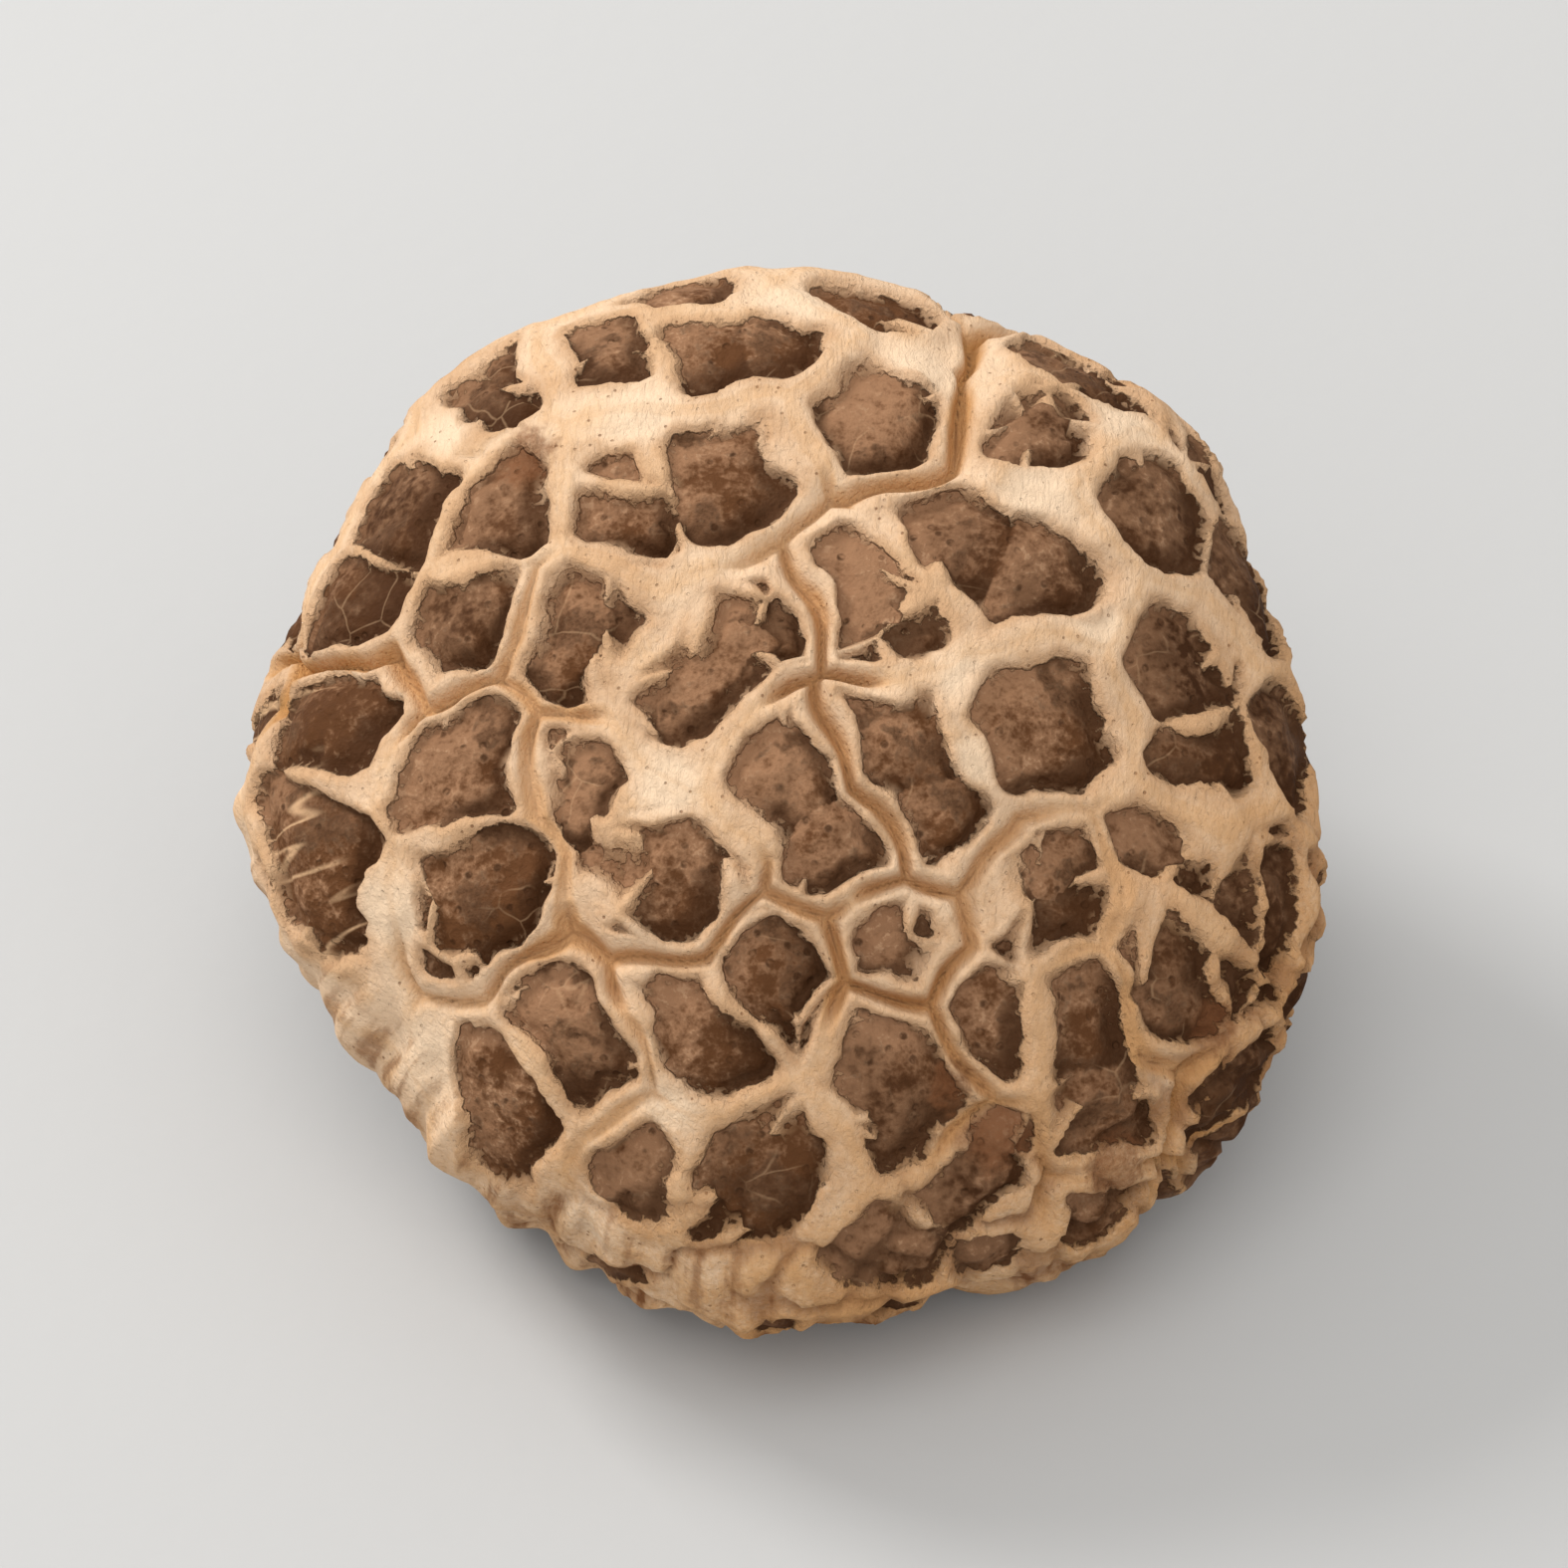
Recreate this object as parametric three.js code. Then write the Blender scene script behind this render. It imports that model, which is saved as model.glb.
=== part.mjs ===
// A dried shiitake of the thick white-cracked kind: a domed cap whose dark skin has split into plates in a
// net of pale flesh, a rim rolled in underneath, gills in the hollow, and a short stem that is cut off flat.
// It lies as such a mushroom does on a table, on two low lobes of its rim and the cut end of its stem.
// Millimetres, +Z up. Local heights are measured along the cap's own axis from the lowest ring of its rim.
import * as THREE from "three";
import { mergeVertices } from "three/addons/utils/BufferGeometryUtils.js";

const { clamp, degToRad, lerp, smoothstep } = THREE.MathUtils;

// Driving dimensions
const CAP_RADIUS = 23;
const CAP_TOP = 18.5;
const WAIST = 7;
const RIM_RADIUS = 18.6;
const LIP_RADIUS = 14.8;
const ROOF = 8.8;
const STEM_TOP = 8.1;
const STEM_RADIUS = 5.9;
const STEM_FLARE = 0.9;
const STEM_SWELL = 0.5;
const STEM_LEAN = -3.2;
const GILL_INNER = 8;
const GILL_OUTER = 14.2;
const GILL_EDGE = 4.4;
const GILL_ROOT = 1;
const GILL_GAP = 0.5;
const GILL_THICKNESS = 0.68;
const GILL_PAIRS = 28;
const SHORT_GILL_INNER = 10.6;

// Lie of the mushroom: the cap's face is turned down towards -Y, and the floor flattens the rim a little.
const TILT = degToRad(26);
const FLAT_DEPTH = 0.3;

// Relief of the skin. A crease parts two lobes of the cap, and the plates lie sunk in the net of flesh.
const CREASE_DEPTH = 1.2;
const CREASE_REACH = 1.25;
const LOBE_RISE = 0.5;
const LOBE_REACH = 4.5;
const PLATE_SINK = 0.45;
const NET_HALF_WIDTH = 1.15;
const DOME_WAVE = 0.3;
const RIB_COUNT = 30;
const RIB_HEIGHT = 0.42;
const RING_PLATE = 1.5;
const RING_SPACING = 3.3;

// Detail of the meshes
const CAP_DETAIL = 19;
const STEM_SIDES = 28;
const STEM_RINGS = 8;
const GILL_STATIONS = [GILL_INNER, SHORT_GILL_INNER, 12.7, GILL_OUTER];

// The plates of skin as seen down on the cap, lobe by lobe. A plate is one spot or a few that run together,
// each with its x, its y and its half width, in cap radii.
const LOBES = [
  [[[-0.54, 0.75, 0.08]], [[-0.7, 0.54, 0.07]], [[-0.51, 0.49, 0.06]], [[-0.81, 0.34, 0.08]],
    [[-0.58, 0.31, 0.08]]],
  [[[-0.36, 0.82, 0.08]], [[-0.19, 0.94, 0.07]], [[-0.12, 0.82, 0.06], [-0.02, 0.82, 0.06]]],
  [[[0.16, 0.69, 0.09]], [[0.19, 0.92, 0.08]]],
  [[[-0.25, 0.52, 0.07]], [[-0.1, 0.57, 0.1]]],
  [[[-0.36, 0.27, 0.08]], [[-0.17, 0.19, 0.08], [-0.06, 0.28, 0.08]]],
  [[[0.02, 0.03, 0.08], [0.11, -0.08, 0.07]]],
  [[[-0.33, 0.02, 0.05]], [[-0.22, -0.13, 0.1]]],
  [[[0.16, 0.35, 0.1]], [[0.32, 0.46, 0.07], [0.46, 0.38, 0.08]], [[0.48, 0.65, 0.07]], [[0.56, 0.79, 0.07]]],
  [[[0.21, 0.08, 0.09], [0.26, -0.02, 0.08]], [[0.47, 0.12, 0.11]]],
  [[[0.67, 0.52, 0.06]], [[0.81, 0.62, 0.07]], [[0.88, 0.37, 0.08]]],
  [[[0.72, 0.24, 0.08]], [[0.76, 0.06, 0.07]], [[0.94, 0.08, 0.06]]],
  [[[0.69, -0.1, 0.06]], [[0.85, -0.17, 0.08], [0.86, -0.27, 0.07]],
    [[0.7, -0.26, 0.07], [0.72, -0.36, 0.06]]],
  [[[0.22, -0.24, 0.07]]],
  [[[0.46, -0.19, 0.08]], [[0.39, -0.38, 0.07]]],
  [[[-0.57, 0.06, 0.09]], [[-0.54, -0.17, 0.1]]],
  [[[-0.84, 0.14, 0.05], [-0.76, 0.14, 0.04]], [[-0.85, -0.1, 0.09], [-0.83, -0.29, 0.09]]],
  [[[-0.14, -0.4, 0.08]], [[0, -0.33, 0.07]]],
  [[[-0.38, -0.43, 0.09]], [[-0.49, -0.52, 0.09], [-0.52, -0.64, 0.09]]],
  [[[-0.23, -0.65, 0.06]], [[-0.1, -0.67, 0.08], [0.02, -0.67, 0.08]]],
  [[[0.21, -0.45, 0.08], [0.19, -0.54, 0.07]]],
  [[[0.35, -0.67, 0.06]], [[0.21, -0.81, 0.08]], [[0.41, -0.8, 0.06]]],
  [[[0.53, -0.42, 0.07], [0.59, -0.58, 0.08]]],
  [[[0.82, -0.59, 0.09]], [[0.57, -0.77, 0.08]]],
];
// They are seen from a little above the front, this far off the cap's axis.
const VIEW_LEAN = degToRad(14);

// Further plates stand in rings at the waist and under it, which that view doesn't reach.
const PLATE_RINGS = [
  { station: 1, count: 36 },
  { station: 1.13, count: 36 },
];

// A number from 0 to 1 that looks random and depends on n alone.
function scatter(n) {
  const s = Math.sin(n * 12.9898) * 43758.5453;
  return s - Math.floor(s);
}

// The cap's outline in a plane through its axis, as radius and height. The station runs from 0 at the top
// over 1 at the waist, 1.5 at the lowest ring and 2 at the lip to 3 in the middle of the hollow's roof.
function meridian(station) {
  if (station < 1) {
    const a = (station * Math.PI) / 2;
    return [CAP_RADIUS * Math.sin(a), WAIST + (CAP_TOP - WAIST) * Math.cos(a)];
  }
  if (station < 2) {
    const a = (station - 1) * Math.PI;
    const reach = station < 1.5 ? CAP_RADIUS - RIM_RADIUS : RIM_RADIUS - LIP_RADIUS;
    return [RIM_RADIUS + reach * Math.cos(a), WAIST * (1 - Math.sin(a))];
  }
  const a = ((station - 2) * Math.PI) / 2;
  return [LIP_RADIUS * Math.cos(a), WAIST + (ROOF - WAIST) * Math.sin(a)];
}

// The skin is a sphere's surface laid on the meridian with small triangles kept in shape. These are the
// polar angles on the sphere of even steps of station, with the waist a little below its equator.
const LAST_STATION = 3;
const STATION_STEPS = 600;
const WAIST_ANGLE = degToRad(106);
function polarAngles() {
  const stretch = [];
  for (let i = 1; i < STATION_STEPS; i++) {
    const [r, z] = meridian((LAST_STATION * i) / STATION_STEPS);
    const [r0, z0] = meridian((LAST_STATION * (i - 1)) / STATION_STEPS);
    const step = (2 * Math.hypot(r - r0, z - z0)) / (r + r0);
    stretch.push(i === 1 ? Math.log(r) : stretch[i - 2] + step);
  }
  const atWaist = stretch[STATION_STEPS / LAST_STATION - 1];
  const angles = stretch.map((s) => 2 * Math.atan(Math.exp(s - atWaist) * Math.tan(WAIST_ANGLE / 2)));
  return [0, ...angles, Math.PI];
}

function stationOf(angle, angles) {
  const after = Math.max(1, angles.findIndex((a) => a >= angle));
  const share = (angle - angles[after - 1]) / (angles[after] - angles[after - 1]);
  return (LAST_STATION * (after - 1 + share)) / STATION_STEPS;
}

// A point of the smooth cap, and the normal there.
function skinPoint(station, azimuth) {
  const [r, z] = meridian(station);
  return new THREE.Vector3(r * Math.cos(azimuth), r * Math.sin(azimuth), z);
}

function skinNormal(station, azimuth) {
  const step = 0.004;
  const [r0, z0] = meridian(Math.max(station - step, 0));
  const [r1, z1] = meridian(Math.min(station + step, LAST_STATION));
  const length = Math.hypot(r1 - r0, z1 - z0);
  const out = (z0 - z1) / length;
  return new THREE.Vector3(out * Math.cos(azimuth), out * Math.sin(azimuth), (r1 - r0) / length);
}

// How much wider than a circle the mushroom grew at an azimuth.
function outline(azimuth) {
  return (
    1 +
    0.028 * Math.cos(azimuth - degToRad(20)) +
    0.023 * Math.cos(2 * (azimuth + degToRad(47))) +
    0.011 * Math.cos(3 * (azimuth - degToRad(59))) +
    0.02 * Math.cos(5 * (azimuth + degToRad(33)))
  );
}

// How much of that, and of the rim's waves, there is at a radius.
const CALM_RADIUS = 8;
function looseness(r) {
  return smoothstep(r, CALM_RADIUS, RIM_RADIUS);
}

// Moves a point as the whole mushroom grew out of true: an uneven outline, and a rim that waves up and
// down, lowest at two lobes on either side of the front. Cap and gills both follow it.
const RIM_WAVE = 1;
function grow(p) {
  const azimuth = Math.atan2(p.y, p.x);
  const loose = looseness(Math.hypot(p.x, p.y));
  const wider = lerp(1, outline(azimuth), loose);
  const wave = -0.35 * Math.cos(2 * azimuth) - RIM_WAVE * Math.cos(5 * (azimuth + degToRad(54)));
  const low = clamp((CAP_TOP - p.z) / CAP_TOP, 0, 1);
  return new THREE.Vector3(p.x * wider, p.y * wider, p.z + wave * loose * low);
}

// Where a spot seen at x and y, in cap radii, lies on the smooth cap.
function spotOnCap(x, y) {
  const across = x * CAP_RADIUS;
  const rise = (CAP_TOP - WAIST) * Math.sqrt(Math.max(0, 1 - x * x - y * y));
  const along = (y * CAP_RADIUS - rise * Math.sin(VIEW_LEAN)) / Math.cos(VIEW_LEAN);
  const azimuth = Math.atan2(along, across);
  const r = Math.hypot(across, along);
  const share = r / lerp(1, outline(azimuth), looseness(r)) / CAP_RADIUS;
  return skinPoint((2 / Math.PI) * Math.asin(Math.min(share, 0.99)), azimuth);
}

// Every spot of dark skin: its place, its half width, and the plate and the lobe that it belongs to.
function skinSpots() {
  const spots = [];
  LOBES.forEach((plates, lobe) => {
    plates.forEach((plate, index) => {
      for (const [x, y, half] of plate) {
        spots.push({ place: spotOnCap(x, y), half: half * CAP_RADIUS, lobe, plate: `${lobe}.${index}` });
      }
    });
  });
  PLATE_RINGS.forEach(({ station, count }, ring) => {
    for (let i = 0; i < count; i++) {
      const seed = 100 * (ring + 1) + i;
      const azimuth = ((i + 0.5 * (scatter(seed) - 0.5)) / count) * 2 * Math.PI;
      const place = skinPoint(station + 0.05 * (scatter(seed + 50) - 0.5), azimuth);
      if (spots.every((spot) => spot.place.distanceTo(place) > RING_SPACING)) {
        spots.push({ place, half: RING_PLATE, lobe: seed, plate: `${seed}` });
      }
    }
  });
  return spots;
}

// Moves a point a little, in smooth waves, so that the borders between plates wander.
const WANDER = 0.4;
function wander(p) {
  return new THREE.Vector3(
    p.x + WANDER * (Math.sin(0.63 * p.y + 1.3) + 0.6 * Math.sin(1.22 * p.x - 0.9 * p.y + 0.4 * p.z)),
    p.y + WANDER * (Math.sin(0.6 * p.x + 4.1) + 0.6 * Math.sin(1.07 * p.y + 0.98 * p.x + 2)),
    p.z + WANDER * Math.sin(0.7 * p.z + 0.5 * p.x + 2.2),
  );
}

// How far a point of the skin is from the border of its lobe, which way that border lies, and how far it
// is from the border of its own plate's share of the lobe.
function borders(point, spots) {
  const p = wander(point);
  const powers = spots.map((spot) => spot.place.distanceToSquared(p) - spot.half ** 2);
  const own = powers.indexOf(Math.min(...powers));
  const home = spots[own];
  const found = { crease: Infinity, crack: Infinity, aside: new THREE.Vector3() };
  spots.forEach((spot, i) => {
    if (spot.plate === home.plate) {
      return;
    }
    const apart = spot.place.distanceTo(home.place);
    const distance = (powers[i] - powers[own]) / (2 * apart);
    if (spot.lobe === home.lobe) {
      found.crack = Math.min(found.crack, distance);
    } else if (distance < found.crease) {
      found.crease = distance;
      found.aside.subVectors(spot.place, home.place).divideScalar(apart);
    }
  });
  return found;
}

// Height of the skin over the smooth cap: lobes, creases and sunk plates above, ribs round the rim, and
// nothing in the hollow.
function relief(station, azimuth, point, crease, crack) {
  const onDome = 1 - smoothstep(station, 1.05, 1.25);
  const fresh = lerp(1, 0.5, smoothstep(station, 0.85, 1.05));
  const onRim = smoothstep(station, 1.02, 1.2) * (1 - smoothstep(station, 1.75, 2));
  const lobe = LOBE_RISE * (smoothstep(crease, 0, LOBE_REACH) - 0.5);
  const groove = -CREASE_DEPTH * (1 - clamp(crease / CREASE_REACH, 0, 1)) ** 2;
  const border = Math.min(crease, crack);
  const plate = -PLATE_SINK * smoothstep(border, NET_HALF_WIDTH - 0.3, NET_HALF_WIDTH + 0.3);
  const wave = DOME_WAVE * Math.sin(0.31 * point.x + 1) * Math.cos(0.27 * point.y + 0.5);
  const bend = 2 * Math.sin(3 * azimuth) + 1.4 * Math.sin(7 * azimuth + 1) + 3 * station;
  const rib = RIB_HEIGHT * Math.cos(RIB_COUNT * azimuth + bend);
  return ((groove + plate) * fresh + lobe + wave) * onDome + rib * onRim;
}

// Moves every vertex of a geometry by a function of its place, with shared vertices merged first.
function reshape(geometry, move) {
  geometry.deleteAttribute("normal");
  geometry.deleteAttribute("uv");
  const merged = mergeVertices(geometry, 1e-4);
  const position = merged.getAttribute("position");
  for (let i = 0; i < position.count; i++) {
    const moved = move(new THREE.Vector3().fromBufferAttribute(position, i));
    position.setXYZ(i, moved.x, moved.y, moved.z);
  }
  merged.computeVertexNormals();
  return merged;
}

// The cap's whole skin. Vertices close to a crease are drawn most of the way on to it, so that it is sharp.
const DRAWN_IN = 0.45;
const DRAWN_SHARE = 0.85;
function capGeometry() {
  const angles = polarAngles();
  const spots = skinSpots();
  return reshape(new THREE.IcosahedronGeometry(1, CAP_DETAIL), (p) => {
    const station = stationOf(Math.acos(clamp(p.z / p.length(), -1, 1)), angles);
    const azimuth = Math.atan2(p.y, p.x);
    const point = skinPoint(station, azimuth);
    const { crease, crack, aside } = borders(point, spots);
    const draw = crease < DRAWN_IN && station < 1.2 ? DRAWN_SHARE : 0;
    point.addScaledVector(aside, draw * crease);
    const height = relief(station, azimuth, point, crease * (1 - draw), crack);
    return grow(point.addScaledVector(skinNormal(station, azimuth), height));
  });
}

// Height of the hollow's roof at a radius.
function roofHeight(r) {
  return WAIST + (ROOF - WAIST) * Math.sqrt(Math.max(0, 1 - (r / LIP_RADIUS) ** 2));
}

// How far the blades swing sideways, as an angle.
function gillSway(r, azimuth) {
  return 0.03 * Math.sin(0.9 * r + 2 * azimuth) + 0.015 * Math.sin(1.9 * r - 3 * azimuth);
}

// A ring of flesh that follows the roof, its underside thrown into blades. Every second blade is short.
function gillGeometry() {
  const blades = 2 * GILL_PAIRS;
  const pitch = (2 * Math.PI) / blades;
  const underside = GILL_STATIONS.map((r) => new THREE.Vector2(r, -1));
  const section = [new THREE.Vector2(GILL_INNER, 0), ...underside, new THREE.Vector2(GILL_OUTER, 0)];
  const perBlade = 4;
  const ring = new THREE.LatheGeometry([...section, section[0]], blades * perBlade);
  ring.rotateX(Math.PI / 2);
  return reshape(ring, (p) => {
    const r = Math.hypot(p.x, p.y);
    const step = Math.round(((Math.atan2(p.y, p.x) + 2 * Math.PI) / pitch) * perBlade);
    const blade = Math.floor(step / perBlade) % blades;
    const half = GILL_THICKNESS / 2 / r;
    const foot = Math.min(1.5 * half, 0.45 * pitch);
    const side = [-half, half, foot, pitch - foot][step % perBlade];
    const straight = blade * pitch + side;
    const azimuth = straight + gillSway(r, straight);
    const top = roofHeight(r) - GILL_GAP;
    const isEdge = step % perBlade < 2 && (blade % 2 === 0 || r > SHORT_GILL_INNER + 0.1);
    const slope = r < GILL_INNER + 0.1 || r > GILL_OUTER - 0.1 ? 0.6 : 0;
    const under = isEdge ? GILL_EDGE + slope : top - GILL_ROOT;
    return grow(new THREE.Vector3(r * Math.cos(azimuth), r * Math.sin(azimuth), p.z > -0.5 ? top : under));
  });
}

// The floor in the mushroom's own frame: the upward normal, and the height along it.
const floorNormal = new THREE.Vector3(0, Math.sin(TILT), Math.cos(TILT));

function lowestPoint(geometry) {
  const position = geometry.getAttribute("position");
  let low = Infinity;
  for (let i = 0; i < position.count; i++) {
    low = Math.min(low, new THREE.Vector3().fromBufferAttribute(position, i).dot(floorNormal));
  }
  return low;
}

function liftOntoFloor(geometry, floor) {
  return reshape(geometry, (p) => p.addScaledVector(floorNormal, Math.max(0, floor - p.dot(floorNormal))));
}

// A short fluted stem, flared under the cap, which bends towards the front and is cut off along the floor.
function stemGeometry(floor) {
  const side = Array.from({ length: STEM_RINGS + 1 }, (_, i) => new THREE.Vector2(1, i / STEM_RINGS - 1));
  const bottom = [new THREE.Vector2(0, -1), new THREE.Vector2(0.55, -1)];
  const top = [new THREE.Vector2(0.55, 0), new THREE.Vector2(0, 0)];
  const lathe = new THREE.LatheGeometry([...bottom, ...side, ...top], STEM_SIDES);
  lathe.rotateX(Math.PI / 2);
  return reshape(lathe, (p) => {
    const depth = clamp(-p.z, 0, 1);
    const azimuth = Math.atan2(p.y, p.x);
    const flute = 1 + 0.05 * Math.cos(2 * azimuth + 0.6) + 0.03 * Math.cos(5 * azimuth + 4 * depth);
    const swell = STEM_FLARE * (1 - smoothstep(depth, 0, 0.4)) + STEM_SWELL * smoothstep(depth, 0.6, 1);
    const r = Math.hypot(p.x, p.y) * (STEM_RADIUS + swell) * lerp(1, flute, smoothstep(depth, 0, 0.3));
    const x = r * Math.cos(azimuth);
    const y = r * Math.sin(azimuth) + STEM_LEAN * depth ** 2;
    const cut = (floor - y * floorNormal.y) / floorNormal.z;
    return new THREE.Vector3(x, y, lerp(STEM_TOP, cut, depth));
  });
}

function mesh(name, geometry, color, roughness) {
  const made = new THREE.Mesh(geometry, new THREE.MeshStandardMaterial({ color, roughness, metalness: 0 }));
  made.name = name;
  return made;
}

const skin = capGeometry();
const floor = lowestPoint(skin) + FLAT_DEPTH;

// The cap's own axis is +Z in this group, which leans over and stands on the floor.
const mushroom = new THREE.Group();
mushroom.add(mesh("cap", liftOntoFloor(skin, floor), 0x7a5a45, 0.85));
mushroom.add(mesh("gills", gillGeometry(), 0xc79a5c, 0.8));
mushroom.add(mesh("stem", stemGeometry(floor), 0xd9b98c, 0.85));
mushroom.rotation.x = TILT;

const part = new THREE.Group();
part.add(mushroom);
part.updateMatrixWorld(true);
const box = new THREE.Box3().setFromObject(part, true);
const middle = box.getCenter(new THREE.Vector3());
mushroom.position.set(-middle.x, -middle.y, -box.min.z);

export default part;
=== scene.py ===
"""A dried shiitake with a white-cracked cap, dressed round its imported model.

The cap's skin, the gills and the stem are made here in fine meshes, from the sizes and formulas that the
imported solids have. Lengths are millimetres in the mushroom's own frame until to_row turns them into metres.
"""
import itertools
import math
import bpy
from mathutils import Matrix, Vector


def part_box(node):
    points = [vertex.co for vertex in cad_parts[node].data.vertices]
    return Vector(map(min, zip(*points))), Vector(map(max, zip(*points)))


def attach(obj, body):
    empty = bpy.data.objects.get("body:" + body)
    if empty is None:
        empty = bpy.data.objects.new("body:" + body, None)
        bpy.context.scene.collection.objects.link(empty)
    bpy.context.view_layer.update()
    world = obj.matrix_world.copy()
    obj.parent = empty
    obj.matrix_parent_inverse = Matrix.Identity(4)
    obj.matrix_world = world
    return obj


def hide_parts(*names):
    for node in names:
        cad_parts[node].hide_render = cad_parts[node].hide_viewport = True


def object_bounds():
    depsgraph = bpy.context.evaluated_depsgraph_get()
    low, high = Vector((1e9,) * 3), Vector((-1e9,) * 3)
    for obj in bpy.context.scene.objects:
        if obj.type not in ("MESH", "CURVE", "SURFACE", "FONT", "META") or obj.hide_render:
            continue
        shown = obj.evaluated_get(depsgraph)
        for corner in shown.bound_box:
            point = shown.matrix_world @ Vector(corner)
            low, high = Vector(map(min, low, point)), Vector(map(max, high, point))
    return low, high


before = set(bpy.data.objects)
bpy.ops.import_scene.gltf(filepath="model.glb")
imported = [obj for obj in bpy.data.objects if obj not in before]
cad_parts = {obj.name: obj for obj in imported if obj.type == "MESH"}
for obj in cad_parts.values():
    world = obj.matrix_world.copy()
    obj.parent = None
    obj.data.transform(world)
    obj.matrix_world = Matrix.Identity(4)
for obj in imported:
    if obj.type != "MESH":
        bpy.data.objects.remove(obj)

from types import SimpleNamespace

import bmesh
import bpy
import numpy as np
from mathutils import Matrix, Vector, kdtree, noise

CAD_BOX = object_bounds()

bl_info = {
    "name": "Dried Shiitake",
    "version": (1, 0, 0),
    "blender": (4, 5, 0),
    "location": "3D View > Sidebar > Shiitake",
    "description": "Builds a dried shiitake with a cracked cap, gills and a cut stem",
    "category": "Add Mesh",
}

MM = 0.001
ROOT = "root"

# Sizes of the mushroom, in millimetres along and across its own axis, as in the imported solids
CAP_RADIUS = 23
CAP_TOP = 18.5
WAIST = 7
RIM_RADIUS = 18.6
LIP_RADIUS = 14.8
ROOF = 8.8
STEM_TOP = 8.1
STEM_RADIUS = 5.9
STEM_FLARE = 0.9
STEM_SWELL = 0.5
STEM_LEAN = -3.2
STEM_ROOT = 0.5
GILL_EDGE = 4.4
GILL_STARTS = (6.6, 9.6, 7.6, 11.4)
GILL_ROOT = 0.3
TILT = math.radians(26)
VIEW_LEAN = math.radians(14)

# How the mushroom grew out of true, outside a calm radius. A wave round the axis has its height, its count
# and its turn in degrees. The outline's heights are shares of the radius.
CALM_RADIUS = 8
OUTLINE_WAVES = ((0.028, 1, -20), (0.023, 2, 47), (0.011, 3, -59), (0.02, 5, 33))
RIM_WAVES = ((-0.35, 2, 0), (-1, 5, 54))

# Relief of the cap
LOBE_HEIGHT = 0.85
LOBE_LIFT = 0.5
FOLD_GROOVE = 0.75
FOLD_REACH = (1.2, 3)
BORDER_RIDGE = 0.2
PLATE_LIP = 0.24
PLATE_SINK = 0.42
PLATE_CROWN = 0.1
PUCKER_DEPTH = 0.4
DOME_WAVE = 0.3
MARGIN_WAVE = 0.55
RIB_COUNT = 30
RIB_HEIGHT = 0.42
BARE_WRINKLES = 3.2

# Relief of the stem, and its length in the unrolled place that its noise is read from
FURROW_DEPTH = 0.4
SCALE_HEIGHT = 0.14
UNROLLED_LENGTH = 0.425

# The pale net between lobes, and between the plates of a lobe. The rolled rim counts as inside a plate.
NET_HALF_WIDTH = 0.82
CRACK_HALF_WIDTH = 0.42
CRACK_SPACING = 4.4
CORNER_RADIUS = 0.15
RIM_INSIDE = 1.5
WANDER = 0.4

# Layers of smooth random values, each with its height, size and seed
EDGE_NOISE = ((0.35, 2.6, 1), (0.16, 1.1, 2))
LEATHER_NOISE = ((0.14, 1.8, 15), (0.09, 0.9, 4), (0.06, 0.5, 5))
FLESH_NOISE = ((0.11, 1.5, 6), (0.05, 0.6, 16))
PUCKER_NOISE = ((1, 2.4, 31), (0.35, 0.9, 32))
WRINKLE_NOISE = ((0.22, 0.07, 7), (0.08, 0.035, 8))

# Stretches of the dome: the way that each faces in degrees round the axis, and the cosines of the turn from
# there and the stations between which it comes in
BARE_FRONT = (-123, (0.72, 0.9), (0.66, 0.78))
BARE_BESIDE = (-123, (0.2, 0.5), (0.86, 0.95))
# The darker skin of the right-hand stretch is partly painted shade, on the side away from the key light.
DARK_RIGHT = (12, (0.6, 0.85), (0.4, 0.6))
DARK_LEFT = (148, (0.7, 0.9), (0.3, 0.5))
# The front-right margin is weathered and puckered. Its darker skin and browner flesh are partly painted
# shade, away from the key light.
WEATHERED_AND_SHADED = (-60, (-0.1, 0.9), (0.2, 0.95))
CLOSE_NET = (8.6, (0.5, 0.8), (0.55, 0.75))
SPLIT_PLATES = (-8, (0.3, 0.8), (0.42, 0.6))
SCRATCHED = (192, (0.86, 0.96), (0.6, 0.7))

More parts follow.
